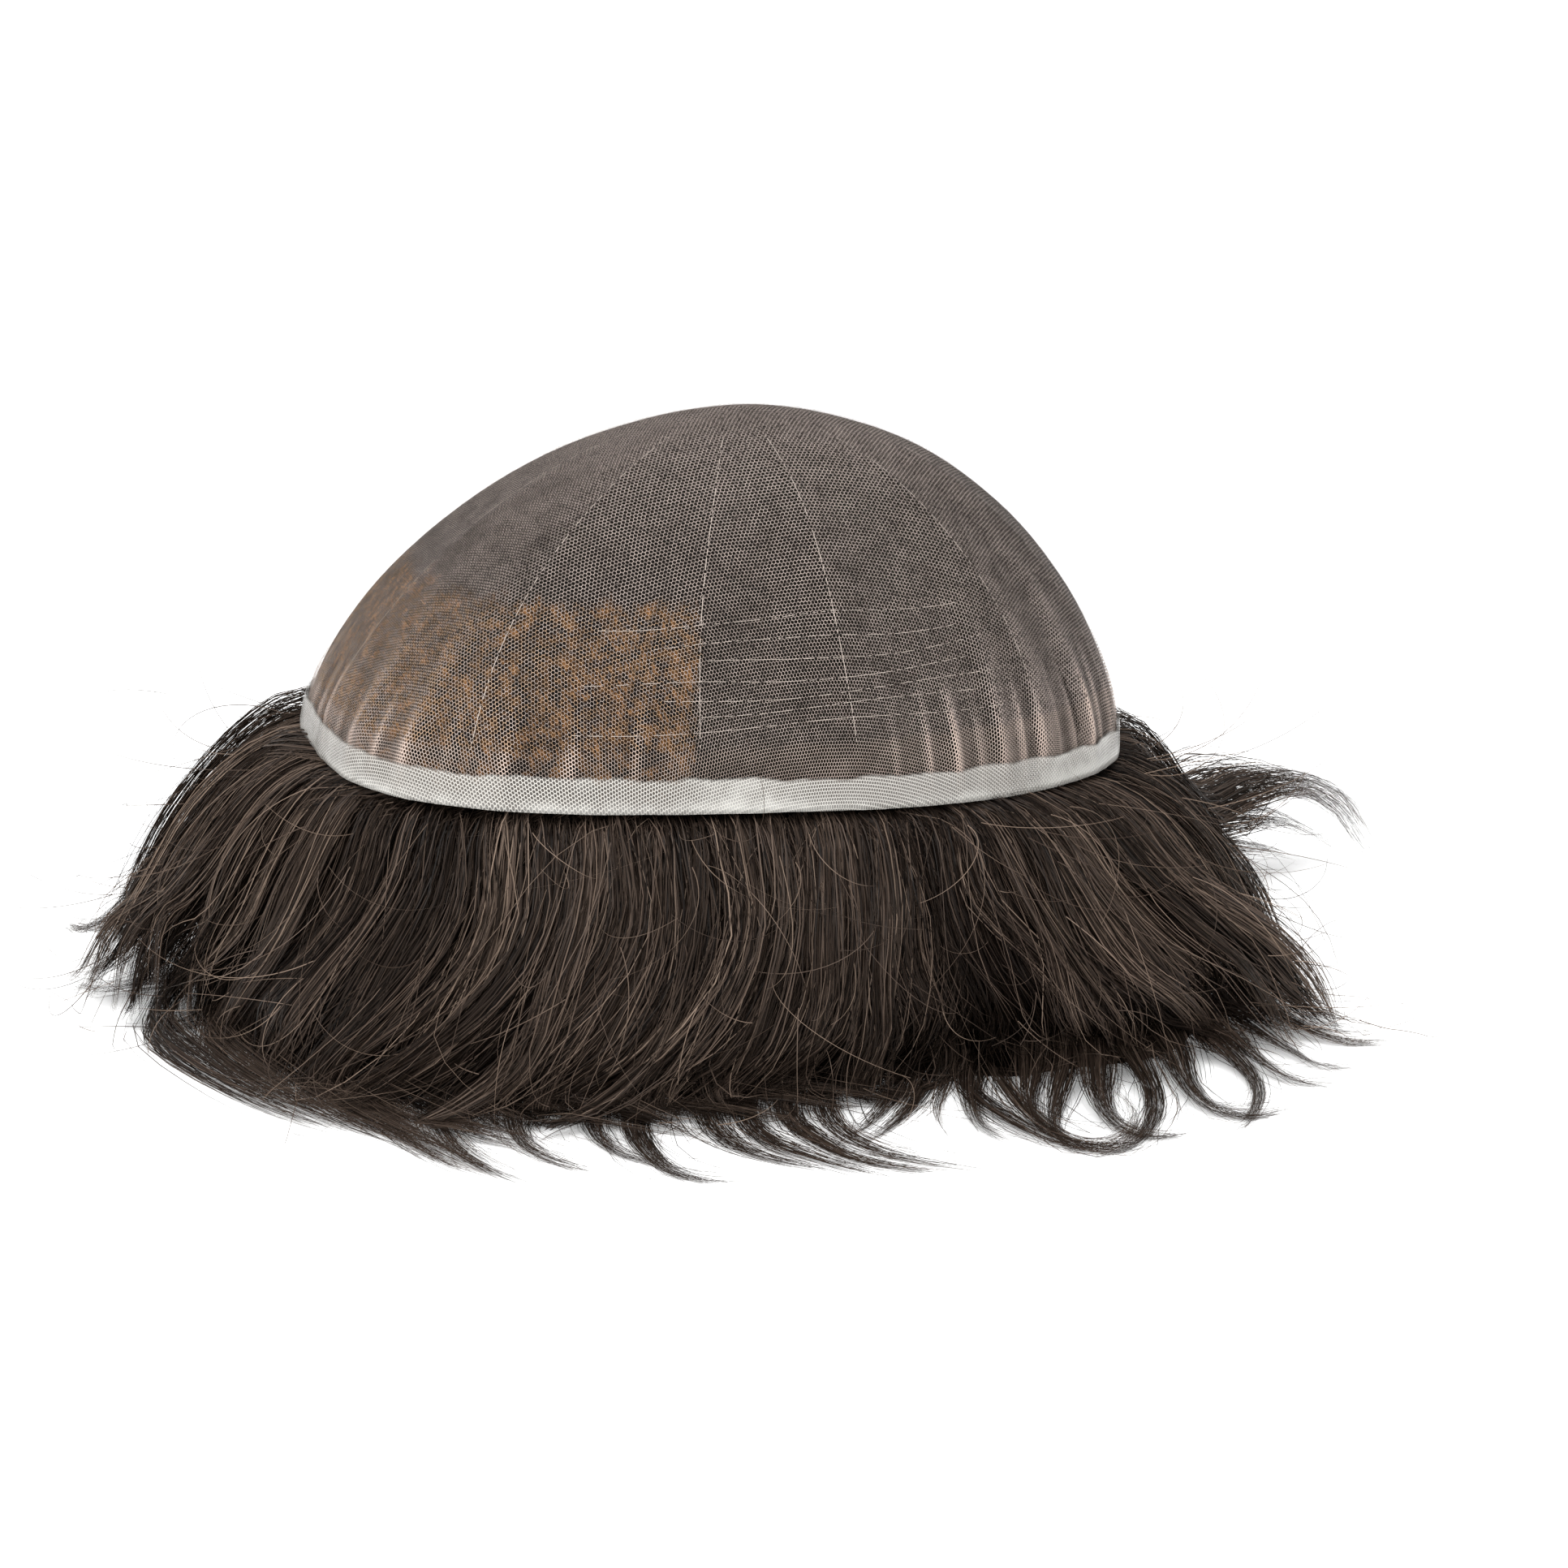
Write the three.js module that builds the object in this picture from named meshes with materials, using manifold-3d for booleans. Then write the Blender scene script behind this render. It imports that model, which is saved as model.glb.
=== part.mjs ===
// A toupee turned inside out and laid on a table: the lace base stands up as a dome, skin side out, and
// the hair that is knotted under it falls out below the rim and spreads over the table in curved locks.
// Millimetres. +Z is up, the front hairline faces -X and the back of the base faces +X.
import * as THREE from "three";
import { mergeVertices } from "three/addons/utils/BufferGeometryUtils.js";
import Module from "manifold-3d";

const wasm = await Module();
wasm.setup();

// The lace base
const BASE_FRONT = 100; // from the crown's axis to the front hairline, in plan
const BASE_BACK = 85.5; // from the crown's axis to the back edge, in plan
const BASE_HALF_WIDTH = 64.5;
const FRONT_SQUARENESS = 3.2; // exponent of the plan outline's front half: 2 is an ellipse
const BACK_SQUARENESS = 2.02;
const FRONT_FULLNESS = 1.62; // exponent of the dome's side profile at the front: 2 is an ellipse
const BACK_FULLNESS = 1.94;
const CROWN_HEIGHT = 140; // highest point, above the table
const CROWN_SHIFT = -4.5; // where the highest point lies along X
const RIM_HEIGHT = 63; // rim above the table, at the crown's axis
const RIM_SLOPE = 0.05; // how fast the rim rises towards the front
const LACE_WALL = 1;
const GATHER_HEIGHT = 1.5; // of the tallest gather in the lace
const DENT_DEPTH = 1.6; // of the deepest dent in the dome

// The coated strip round the edge of the base
const BAND_HEIGHT = 8;
const BAND_WALL = 0.8;

// The hair
const CROWN_HAIR_WALL = 3.5; // the layer of knotted roots under the lace
const ROOT_SHELF = 9; // how far the skirt of hair reaches in under the rim
const SKIRT_LEDGE = 2; // how far its top face reaches out past the rim
const SKIRT_WALL = 15; // thickness of the skirt of hair where it stands on the table
const SKIRT_INSET = 7; // how far the skirt lies behind the locks that cover it
const HAIR_BULGE = 50; // how far the hair bulges past the rim where it bulges most
const LOCK_THICKNESS = 9;
const LOCK_WIDTH = 20;
const LOCK_RUN = 20; // how far a lock lies out over the table past the bulge
const LOCK_SWEEP = 20; // how far a lock drifts sideways on its way down
const LOCK_HOOK = 20; // how far a lock's tip then turns back or on
const LOCK_LIFT = 4; // how far a lock's end arches off the table
const TIP_SHARE = 0.1; // breadth of a lock's tip as a share of its middle

const PIECE_GAP = 0.3; // clearance between neighbouring pieces
const LOCK_MARGIN = 0.6; // a lock's root stays this much lower than the skirt's top face

const COLUMNS = 96; // facets round the dome
const DOME_ROWS = [0.14, 0.3, 0.46, 0.61, 0.75, 0.88, 1]; // shares of the way from crown to coated strip
const BAND_ROWS = [0.5, 1]; // shares of the way from the strip's top to the rim
const ROOT_COLUMNS = 32; // facets round the hair under the lace, which has every other row
const SKIRT_STEP_DEG = 7.5;
const NORMAL_STEP = 0.004; // step, in angle and in share, that a surface normal is worked out over

// Gathers in the lace above the rim. height is a share of GATHER_HEIGHT, halfWidth is in degrees, and start
// is the share of the way down at which a gather begins.
const GATHERS = [
  { angle: 158, halfWidth: 4, height: 0.6, start: 0.7 },
  { angle: 170, halfWidth: 4, height: 0.75, start: 0.66 },
  { angle: 184, halfWidth: 4, height: 0.8, start: 0.6 },
  { angle: 195, halfWidth: 4, height: 1, start: 0.55 },
  { angle: 206, halfWidth: 4, height: 0.95, start: 0.55 },
  { angle: 217, halfWidth: 4, height: 0.8, start: 0.66 },
  { angle: 229, halfWidth: 4, height: 0.6, start: 0.74 },
  { angle: 240, halfWidth: 4, height: 0.55, start: 0.74 },
  { angle: 270, halfWidth: 5, height: 0.35, start: 0.8 },
  { angle: 296, halfWidth: 4, height: 0.6, start: 0.7 },
  { angle: 307, halfWidth: 4, height: 0.8, start: 0.55 },
  { angle: 318, halfWidth: 4, height: 0.85, start: 0.5 },
  { angle: 330, halfWidth: 4, height: 0.95, start: 0.45 },
  { angle: 341, halfWidth: 4, height: 0.85, start: 0.45 },
  { angle: 352, halfWidth: 4, height: 0.8, start: 0.5 },
  { angle: 4, halfWidth: 4, height: 0.75, start: 0.5 },
  { angle: 17, halfWidth: 4, height: 0.8, start: 0.5 },
  { angle: 31, halfWidth: 4, height: 0.75, start: 0.55 },
  { angle: 45, halfWidth: 4, height: 0.65, start: 0.6 },
  { angle: 62, halfWidth: 4, height: 0.45, start: 0.7 },
  { angle: 88, halfWidth: 5, height: 0.4, start: 0.76 },
  { angle: 112, halfWidth: 4, height: 0.55, start: 0.7 },
  { angle: 128, halfWidth: 4, height: 0.75, start: 0.64 },
  { angle: 143, halfWidth: 4, height: 0.65, start: 0.66 },
];
// Shallow hollows where the soft dome has sunk. angleSpread is in degrees, shareSpread in shares of the way
// down, and depth is a share of DENT_DEPTH.
const DENTS = [
  { angle: 168, share: 0.72, angleSpread: 20, shareSpread: 0.06, depth: 1 },
  { angle: 232, share: 0.6, angleSpread: 24, shareSpread: 0.16, depth: 0.9 },
  { angle: 300, share: 0.86, angleSpread: 26, shareSpread: 0.12, depth: 0.75 },
  { angle: 60, share: 0.6, angleSpread: 30, shareSpread: 0.2, depth: 0.9 },
];
// How far the hair bulges past the rim before it meets the table, round the base, as shares of HAIR_BULGE
const BULGE = [
  { angle: 0, reach: 0.72 },
  { angle: 22, reach: 0.88 },
  { angle: 55, reach: 0.92 },
  { angle: 90, reach: 0.9 },
  { angle: 125, reach: 0.9 },
  { angle: 155, reach: 0.92 },
  { angle: 178, reach: 0.76 },
  { angle: 200, reach: 0.56 },
  { angle: 222, reach: 0.6 },
  { angle: 242, reach: 0.84 },
  { angle: 262, reach: 0.94 },
  { angle: 285, reach: 0.96 },
  { angle: 310, reach: 1 },
  { angle: 332, reach: 0.92 },
  { angle: 348, reach: 0.72 },
];
// The locks, by zone, with run, sweep, hook, width and lift as shares of the LOCK_ sizes of those names.
// A positive sweep or hook is towards rising angles.
const ZONES = [
  {
    name: "front_hair",
    from: 138,
    to: 222,
    locks: [
      { angle: 145, run: 0.8, sweep: 0.5, hook: 0.5, width: 1.1, lift: 1 },
      { angle: 154, run: 1, sweep: 0.4, hook: -0.6, width: 1, lift: 2.5 },
      { angle: 163, run: 0.7, sweep: -0.5, hook: 0.6, width: 1.1, lift: 0.5 },
      { angle: 172, run: 0.6, sweep: -0.7, hook: -0.4, width: 1.1, lift: 0.5 },
      { angle: 181, run: 0.4, sweep: -0.9, hook: 0.3, width: 1.1, lift: 0.5 },
      { angle: 190, run: 0.3, sweep: -1, hook: -0.5, width: 1.1, lift: 0.5 },
      { angle: 199, run: 0.4, sweep: -1.1, hook: 0.4, width: 1.1, lift: 0.75 },
      { angle: 208, run: 0.4, sweep: -1, hook: 0.6, width: 1.1, lift: 0.5 },
      { angle: 216, run: 0.5, sweep: -0.8, hook: 0.5, width: 1, lift: 1 },
    ],
  },
  {
    name: "left_side_hair",
    from: 222,
    to: 312,
    locks: [
      { angle: 226, run: 0.6, sweep: -0.9, hook: 0.7, width: 1, lift: 0.5 },
      { angle: 234, run: 0.8, sweep: -0.8, hook: 1.2, width: 1, lift: 0.5 },
      { angle: 242, run: 0.85, sweep: -1, hook: 1.1, width: 1, lift: 1 },
      { angle: 250, run: 0.4, sweep: -1, hook: 0.7, width: 1, lift: 0.5 },
      { angle: 258, run: 0.75, sweep: -0.7, hook: 1.3, width: 1, lift: 0.75 },
      { angle: 266, run: 0.4, sweep: -0.6, hook: 0.7, width: 1, lift: 0.5 },
      { angle: 274, run: 0.95, sweep: -0.5, hook: 1.5, width: 1, lift: 0.75 },
      { angle: 282, run: 0.4, sweep: -0.3, hook: 0.5, width: 1, lift: 0.5 },
      { angle: 290, run: 0.8, sweep: 0.4, hook: -0.8, width: 1, lift: 0.75 },
      { angle: 297, run: 0.6, sweep: 0.3, hook: 0.8, width: 1, lift: 0.5 },
      { angle: 305, run: 0.9, sweep: 0.5, hook: -0.4, width: 1, lift: 1 },
    ],
  },
  {
    name: "back_hair",
    from: 312,
    to: 402,
    locks: [
      { angle: 317, run: 0.9, sweep: 0.6, hook: 0.8, width: 1, lift: 0.75 },
      { angle: 326, run: 1.2, sweep: 0.5, hook: 1, width: 1, lift: 1 },
      { angle: 335, run: 0.7, sweep: 0.4, hook: -0.6, width: 1, lift: 0.5 },
      { angle: 344, run: 0.8, sweep: 0.3, hook: 0.5, width: 1, lift: 0.5 },
      { angle: 353, run: 0.7, sweep: 0.4, hook: -0.5, width: 1, lift: 0.5 },
      { angle: 362, run: 1.1, sweep: 0.4, hook: -0.7, width: 1, lift: 0.5 },
      { angle: 371, run: 1.5, sweep: 0.4, hook: -0.8, width: 1, lift: 1.5 },
      { angle: 380, run: 3.1, sweep: 0.3, hook: -1.6, width: 1.2, lift: 4 },
      { angle: 389, run: 1.1, sweep: -0.3, hook: 0.8, width: 1, lift: 1 },
      { angle: 397, run: 0.9, sweep: -0.3, hook: -0.7, width: 1, lift: 0.5 },
    ],
  },
  {
    name: "right_side_hair",
    from: 42,
    to: 138,
    locks: [
      { angle: 48, run: 0.7, sweep: 0.6, hook: -0.5, width: 1.1, lift: 0.5 },
      { angle: 58, run: 0.9, sweep: 0.7, hook: -0.9, width: 1, lift: 0.5 },
      { angle: 68, run: 0.5, sweep: 0.7, hook: -0.6, width: 1, lift: 0.5 },
      { angle: 77, run: 0.9, sweep: 0.6, hook: -1.2, width: 1, lift: 0.5 },
      { angle: 86, run: 0.45, sweep: 0.5, hook: 0.6, width: 1, lift: 0.5 },
      { angle: 95, run: 0.8, sweep: -0.5, hook: 0.9, width: 1, lift: 0.5 },
      { angle: 104, run: 0.5, sweep: -0.6, hook: -0.5, width: 1, lift: 0.5 },
      { angle: 113, run: 0.85, sweep: -0.6, hook: 1, width: 1, lift: 0.5 },
      { angle: 122, run: 0.6, sweep: 0.4, hook: -0.6, width: 1, lift: 0.5 },
      { angle: 131, run: 0.9, sweep: -0.4, hook: 0.7, width: 1, lift: 0.5 },
    ],
  },
];
// A lock from root to tip: turn is the share of the arch it has gone down, run the share of its way out over
// the table, side, hook and rise the shares of its sweep, hook and lift, and broad and thick those of its
// width and thickness.
const LOCK_STATIONS = [
  { turn: 0, run: 0, side: 0, hook: 0, rise: 0, broad: 0.8, thick: 0.8 },
  { turn: 0.24, run: 0, side: 0.04, hook: 0, rise: 0, broad: 0.95, thick: 1 },
  { turn: 0.48, run: 0, side: 0.26, hook: 0, rise: 0, broad: 1, thick: 1 },
  { turn: 0.7, run: 0, side: 0.62, hook: 0, rise: 0, broad: 1, thick: 1 },
  { turn: 0.88, run: 0.12, side: 0.92, hook: 0.04, rise: 0.3, broad: 0.9, thick: 0.86 },
  { turn: 1, run: 0.44, side: 1.06, hook: 0.24, rise: 0.9, broad: 0.68, thick: 0.6 },
  { turn: 1, run: 0.78, side: 1.06, hook: 0.6, rise: 1, broad: 0.42, thick: 0.4 },
  { turn: 1, run: 1, side: 1, hook: 1, rise: 0.5, broad: TIP_SHARE, thick: 0.2 },
];
// Cross-section of a lock, as shares of its half width and half thickness
const LOCK_SECTION = [
  { across: 1, up: -0.3 },
  { across: 0.55, up: 0.9 },
  { across: -0.55, up: 0.9 },
  { across: -1, up: -0.3 },
  { across: 0, up: -1 },
];

const COLORS = { lace: 0xb49c88, band: 0xe6e4dc, roots: 0x2a211d, hair: 0x3a2f29 };

const radians = THREE.MathUtils.degToRad;
const UP = new THREE.Vector3(0, 0, 1);

// Distance in degrees between two directions, never more than half a turn
function angleBetween(a, b) {
  return Math.abs(((((a - b) % 360) + 540) % 360) - 180);
}

// Height of the rim's plane over the table at x
function rimHeight(x) {
  return RIM_HEIGHT - RIM_SLOPE * x;
}

// Point of the rim in plan, in a direction from the crown's axis
function rimPlan(angle) {
  const c = Math.cos(radians(angle));
  const s = Math.sin(radians(angle));
  const length = c < 0 ? BASE_FRONT : BASE_BACK;
  const power = c < 0 ? FRONT_SQUARENESS : BACK_SQUARENESS;
  const sum = Math.abs(c / length) ** power + Math.abs(s / BASE_HALF_WIDTH) ** power;
  const radius = sum ** (-1 / power);
  return new THREE.Vector3(radius * c, radius * s, 0);
}

// The rim's outward direction in plan
function rimNormal(angle) {
  const along = rimPlan(angle + 0.5).sub(rimPlan(angle - 0.5)).normalize();
  return new THREE.Vector3(along.y, -along.x, 0);
}

// The dome without gathers, at a direction and a share of the way from crown to rim
function smoothDome(angle, share) {
  const rim = rimPlan(angle);
  const front = (1 - Math.cos(radians(angle))) / 2;
  const power = 2 / THREE.MathUtils.lerp(BACK_FULLNESS, FRONT_FULLNESS, front);
  const out = Math.sin((share * Math.PI) / 2) ** power;
  const up = Math.max(0, Math.cos((share * Math.PI) / 2)) ** power;
  const base = rimHeight(rim.x);
  return new THREE.Vector3(
    THREE.MathUtils.lerp(CROWN_SHIFT, rim.x, out),
    rim.y * out,
    base + (CROWN_HEIGHT - base) * up,
  );
}

function domeNormal(angle, share) {
  const step = (NORMAL_STEP * 180) / Math.PI;
  const low = Math.min(share + NORMAL_STEP, 1);
  const around = smoothDome(angle + step, share).sub(smoothDome(angle - step, share));
  const down = smoothDome(angle, low).sub(smoothDome(angle, low - 2 * NORMAL_STEP));
  return down.cross(around).normalize();
}

// How far the dents move the dome outwards
function dentRelief(angle, share) {
  let relief = 0;
  for (const { angle: at, share: level, angleSpread, shareSpread, depth } of DENTS) {
    const across = angleBetween(angle, at) / angleSpread;
    const along = (share - level) / shareSpread;
    relief -= DENT_DEPTH * depth * Math.exp(-across * across - along * along);
  }
  return relief;
}

// How far dents and gathers together move the lace outwards
function laceRelief(angle, share) {
  let relief = dentRelief(angle, share);
  for (const { angle: at, halfWidth, height, start } of GATHERS) {
    const across = Math.max(0, 1 - angleBetween(angle, at) / halfWidth);
    relief += GATHER_HEIGHT * height * across * THREE.MathUtils.smoothstep(share, start, 1);
  }
  return relief;
}

// Point of the dome at a depth under its outer face. The lowest row ends on the rim's plane.
function domePoint(angle, share, depth, relief) {
  const normal = domeNormal(angle, share);
  const point = smoothDome(angle, share).addScaledVector(normal, relief(angle, share) - depth);
  if (share === 1) point.z = rimHeight(point.x);
  return point;
}

function crownPoint(depth) {
  return new THREE.Vector3(CROWN_SHIFT, 0, CROWN_HEIGHT - depth);
}

// A closed surface through rings of equal length. Without poles, the last ring joins the first.
function loft(rings, startPole, endPole) {
  const size = rings[0].length;
  const points = rings.flat();
  const faces = [];
  const spans = startPole ? rings.length - 1 : rings.length;
  for (let i = 0; i < spans; i++) {
    const next = ((i + 1) % rings.length) * size;
    for (let j = 0; j < size; j++) {
      const k = (j + 1) % size;
      faces.push(i * size + j, next + j, next + k, i * size + j, next + k, i * size + k);
    }
  }
  if (startPole) {
    const last = (rings.length - 1) * size;
    points.push(startPole, endPole);
    for (let j = 0; j < size; j++) {
      const k = (j + 1) % size;
      faces.push(points.length - 2, j, k, points.length - 1, last + k, last + j);
    }
  }
  if (signedVolume(points, faces) < 0) faces.reverse();
  const geometry = new THREE.BufferGeometry().setFromPoints(points);
  geometry.setIndex(faces);
  return geometry;
}

function signedVolume(points, faces) {
  let total = 0;
  for (let i = 0; i < faces.length; i += 3) {
    const [a, b, c] = faces.slice(i, i + 3).map((v) => points[v]);
    total += a.dot(b.clone().cross(c));
  }
  return total / 6;
}

function centre(ring) {
  return ring.reduce((sum, p) => sum.add(p), new THREE.Vector3()).divideScalar(ring.length);
}

function toSolid(geometry) {
  const merged = mergeVertices(geometry, 1e-3);
  return new wasm.Manifold(
    new wasm.Mesh({
      numProp: 3,
      vertProperties: merged.attributes.position.array,
      triVerts: new Uint32Array(merged.index.array),
    }),
  );
}

function toGeometry(solid) {
  const { vertProperties, triVerts } = solid.getMesh();
  const geometry = new THREE.BufferGeometry();
  geometry.setAttribute("position", new THREE.BufferAttribute(new Float32Array(vertProperties), 3));
  geometry.setIndex(new THREE.BufferAttribute(new Uint32Array(triVerts), 1));
  return geometry;
}

// Directions round the dome, one for each facet
const columnAngles = Array.from({ length: COLUMNS }, (_, i) => (i * 360) / COLUMNS);
const rootAngles = columnAngles.filter((_, i) => i % (COLUMNS / ROOT_COLUMNS) === 0);


// Share of the way down at which the dome stands BAND_HEIGHT over the rim
function bandTopShare(angle) {
  let low = 0.5;
  let high = 1;
  for (let i = 0; i < 20; i++) {
    const middle = (low + high) / 2;
    const point = smoothDome(angle, middle);
    if (point.z - rimHeight(point.x) > BAND_HEIGHT) low = middle;
    else high = middle;
  }
  return high;
}

// One ring of the dome for each row of shares: those over the strip's top first, those down the strip after
function overStrip(angle, row) {
  return row * bandTopShare(angle);
}

function downStrip(angle, row) {
  return THREE.MathUtils.lerp(bandTopShare(angle), 1, row);
}

// A layer of the dome between two depths under its outer face, open at the rim. It has every step-th row,
// counted back from the rim.
function domeLayer(outerDepth, innerDepth, angles, step, relief) {
  const ring = (depth, shareOf, row) =>
    angles.map((angle) => domePoint(angle, shareOf(angle, row), depth, relief));
  const rings = (depth) => [
    ...DOME_ROWS.map((row) => ring(depth, overStrip, row)),
    ...BAND_ROWS.map((row) => ring(depth, downStrip, row)),
  ];
  const kept = (depth) => rings(depth).filter((_, i, all) => (all.length - 1 - i) % step === 0);
  const layer = [...kept(outerDepth), ...kept(innerDepth).reverse()];
  return loft(layer, crownPoint(outerDepth), crownPoint(innerDepth));
}

function perimeterBand() {
  const rings = (depth) =>
    [0, ...BAND_ROWS].map((row) =>
      columnAngles.map((angle) => domePoint(angle, downStrip(angle, row), depth, laceRelief)),
    );
  return loft([...rings(-PIECE_GAP - BAND_WALL), ...rings(-PIECE_GAP).reverse()]);
}

// How far the hair bulges past the rim in a direction, eased between the rows of BULGE
function bulgeAt(angle) {
  const turn = ((angle % 360) + 360) % 360;
  const rows = [...BULGE, { angle: 360, reach: BULGE[0].reach }];
  const i = rows.findIndex((row) => row.angle > turn);
  const [before, after] = [rows[i - 1], rows[i]];
  const share = THREE.MathUtils.smoothstep(turn, before.angle, after.angle);
  return HAIR_BULGE * THREE.MathUtils.lerp(before.reach, after.reach, share);
}

// Point beside the rim: out is the distance past it in plan, and drop the distance under the rim's plane
function besideRim(angle, out, drop) {
  const point = rimPlan(angle).addScaledVector(rimNormal(angle), out);
  point.z = rimHeight(point.x) - drop;
  return point;
}

// Profile of the skirt of hair in one direction, from its shelf under the rim out and down to the table
function skirtProfile(angle, grow) {
  const foot = bulgeAt(angle) - SKIRT_INSET + grow;
  const arch = [0.3, 0.55, 0.78].map((turn) => {
    const bend = (turn * Math.PI) / 2;
    const point = besideRim(angle, SKIRT_LEDGE + (foot - SKIRT_LEDGE) * Math.sin(bend), PIECE_GAP);
    point.z *= Math.cos(bend);
    return point;
  });
  const onTable = (out) => besideRim(angle, out, 0).setZ(0);
  const heel = foot - SKIRT_WALL - 2 * grow;
  return [
    besideRim(angle, -ROOT_SHELF - grow, PIECE_GAP),
    besideRim(angle, SKIRT_LEDGE + grow, PIECE_GAP),
    ...arch,
    onTable(foot),
    onTable(heel),
    besideRim(angle, THREE.MathUtils.lerp(-ROOT_SHELF, heel, 0.3) - grow, RIM_HEIGHT * 0.5),
  ];
}

function skirt(zone, grow) {
  const edge = THREE.MathUtils.radToDeg((PIECE_GAP / 2 - grow) / BASE_HALF_WIDTH);
  const count = Math.round((zone.to - zone.from) / SKIRT_STEP_DEG);
  const profiles = Array.from({ length: count + 1 }, (_, i) =>
    skirtProfile(THREE.MathUtils.lerp(zone.from + edge, zone.to - edge, i / count), grow),
  );
  return loft(profiles, centre(profiles[0]), centre(profiles[count]));
}

// Centre line of a lock: it arches out from under the rim, comes down to the table and lies on it
function lockCentre(lock, station) {
  const { turn, run, side, hook, rise, thick } = station;
  const bend = (turn * Math.PI) / 2;
  const rim = rimPlan(lock.angle);
  const normal = rimNormal(lock.angle);
  const along = UP.clone().cross(normal);
  const half = (LOCK_THICKNESS * thick) / 2;
  const top = rimHeight(rim.x) - PIECE_GAP - LOCK_MARGIN - LOCK_THICKNESS / 2;
  const root = -ROOT_SHELF / 2;
  const out = root + (bulgeAt(lock.angle) - root - half) * Math.sin(bend) + LOCK_RUN * lock.run * run;
  const point = rim.addScaledVector(normal, out);
  point.addScaledVector(along, LOCK_SWEEP * lock.sweep * side + LOCK_HOOK * lock.hook * hook);
  point.z = half + (top - half) * Math.cos(bend) + LOCK_LIFT * lock.lift * rise;
  return point;
}

function lockSolid(lock, grow) {
  const centres = LOCK_STATIONS.map((station) => lockCentre(lock, station));
  const rings = LOCK_STATIONS.map(({ broad, thick }, i) => {
    const before = centres[Math.max(i - 1, 0)];
    const after = centres[Math.min(i + 1, centres.length - 1)];
    const heading = after.clone().sub(before).normalize();
    const across = UP.clone().cross(heading).normalize();
    const over = heading.clone().cross(across);
    return LOCK_SECTION.map((corner) => {
      const point = centres[i]
        .clone()
        .addScaledVector(across, corner.across * ((LOCK_WIDTH * lock.width * broad) / 2 + grow))
        .addScaledVector(over, corner.up * ((LOCK_THICKNESS * thick) / 2 + grow));
      point.z = Math.max(point.z, 0);
      return point;
    });
  });
  const first = centre(rings[0]);
  const last = centre(rings[rings.length - 1]);
  return toSolid(loft(rings, first, last));
}

// The skirt and locks of one zone as one solid, swollen by grow
function zoneSolid(zone, grow) {
  return zone.locks.reduce(
    (solid, lock) => solid.add(lockSolid(lock, grow)),
    toSolid(skirt(zone, grow)),
  );
}

// The largest piece of a solid: what a neighbour's lock cuts off a tip is left out
function mainBody(solid) {
  return solid.decompose().reduce((a, b) => (a.volume() > b.volume() ? a : b));
}

function material(color, roughness) {
  return new THREE.MeshStandardMaterial({ color, roughness, metalness: 0 });
}

const toupee = new THREE.Group();

function addMesh(name, geometry, look) {
  geometry.computeVertexNormals();
  const mesh = new THREE.Mesh(geometry, look);
  mesh.name = name;
  toupee.add(mesh);
}

const rootDepth = LACE_WALL + PIECE_GAP;
addMesh(
  "lace_base",
  domeLayer(0, LACE_WALL, columnAngles, 1, laceRelief),
  material(COLORS.lace, 0.8),
);
addMesh("perimeter_band", perimeterBand(), material(COLORS.band, 0.35));
addMesh(
  "crown_hair",
  domeLayer(rootDepth, rootDepth + CROWN_HAIR_WALL, rootAngles, 2, dentRelief),
  material(COLORS.roots, 0.7),
);

// Each zone's hair lies over that of the zones after it, which are cut back to leave the gap
let laid = null;
for (const zone of ZONES) {
  const raw = zoneSolid(zone, 0);
  addMesh(
    zone.name,
    toGeometry(mainBody(laid ? raw.subtract(laid) : raw)),
    material(COLORS.hair, 0.5),
  );
  const swollen = zoneSolid(zone, PIECE_GAP);
  laid = laid ? laid.add(swollen) : swollen;
}

// The origin is the middle of the whole thing's footprint, on the table
const box = new THREE.Box3().setFromObject(toupee);
const middle = box.getCenter(new THREE.Vector3());
toupee.position.set(-middle.x, -middle.y, -box.min.z);

export default toupee;
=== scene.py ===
"""Dresses a toupee that lies inside out on a table: its net base, coated edge and wavy dark hair."""
import logging
import math
from collections.abc import Sequence
from dataclasses import dataclass, field
from enum import Enum

import bpy
import numpy as np
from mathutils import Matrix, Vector


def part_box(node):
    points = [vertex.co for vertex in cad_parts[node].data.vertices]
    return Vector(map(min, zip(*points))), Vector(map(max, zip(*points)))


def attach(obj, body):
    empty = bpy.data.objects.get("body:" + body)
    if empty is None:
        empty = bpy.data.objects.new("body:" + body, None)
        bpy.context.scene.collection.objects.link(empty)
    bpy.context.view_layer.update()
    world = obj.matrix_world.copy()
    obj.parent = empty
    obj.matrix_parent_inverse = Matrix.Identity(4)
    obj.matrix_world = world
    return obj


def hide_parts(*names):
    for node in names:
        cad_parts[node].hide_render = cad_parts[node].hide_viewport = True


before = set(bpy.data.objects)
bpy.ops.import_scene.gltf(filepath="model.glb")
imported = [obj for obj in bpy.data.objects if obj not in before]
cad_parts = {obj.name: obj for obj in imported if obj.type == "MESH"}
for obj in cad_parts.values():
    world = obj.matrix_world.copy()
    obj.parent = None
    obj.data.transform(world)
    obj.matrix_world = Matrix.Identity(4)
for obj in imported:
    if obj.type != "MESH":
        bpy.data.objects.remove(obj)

LOG = logging.getLogger("toupee")
MM = 0.001
SEED = 20
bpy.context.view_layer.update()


class Zone(Enum):
    """The four zones of hair that fall from under the rim, named as their solids are."""

    FRONT = "front_hair"
    LEFT = "left_side_hair"
    BACK = "back_hair"
    RIGHT = "right_side_hair"


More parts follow.
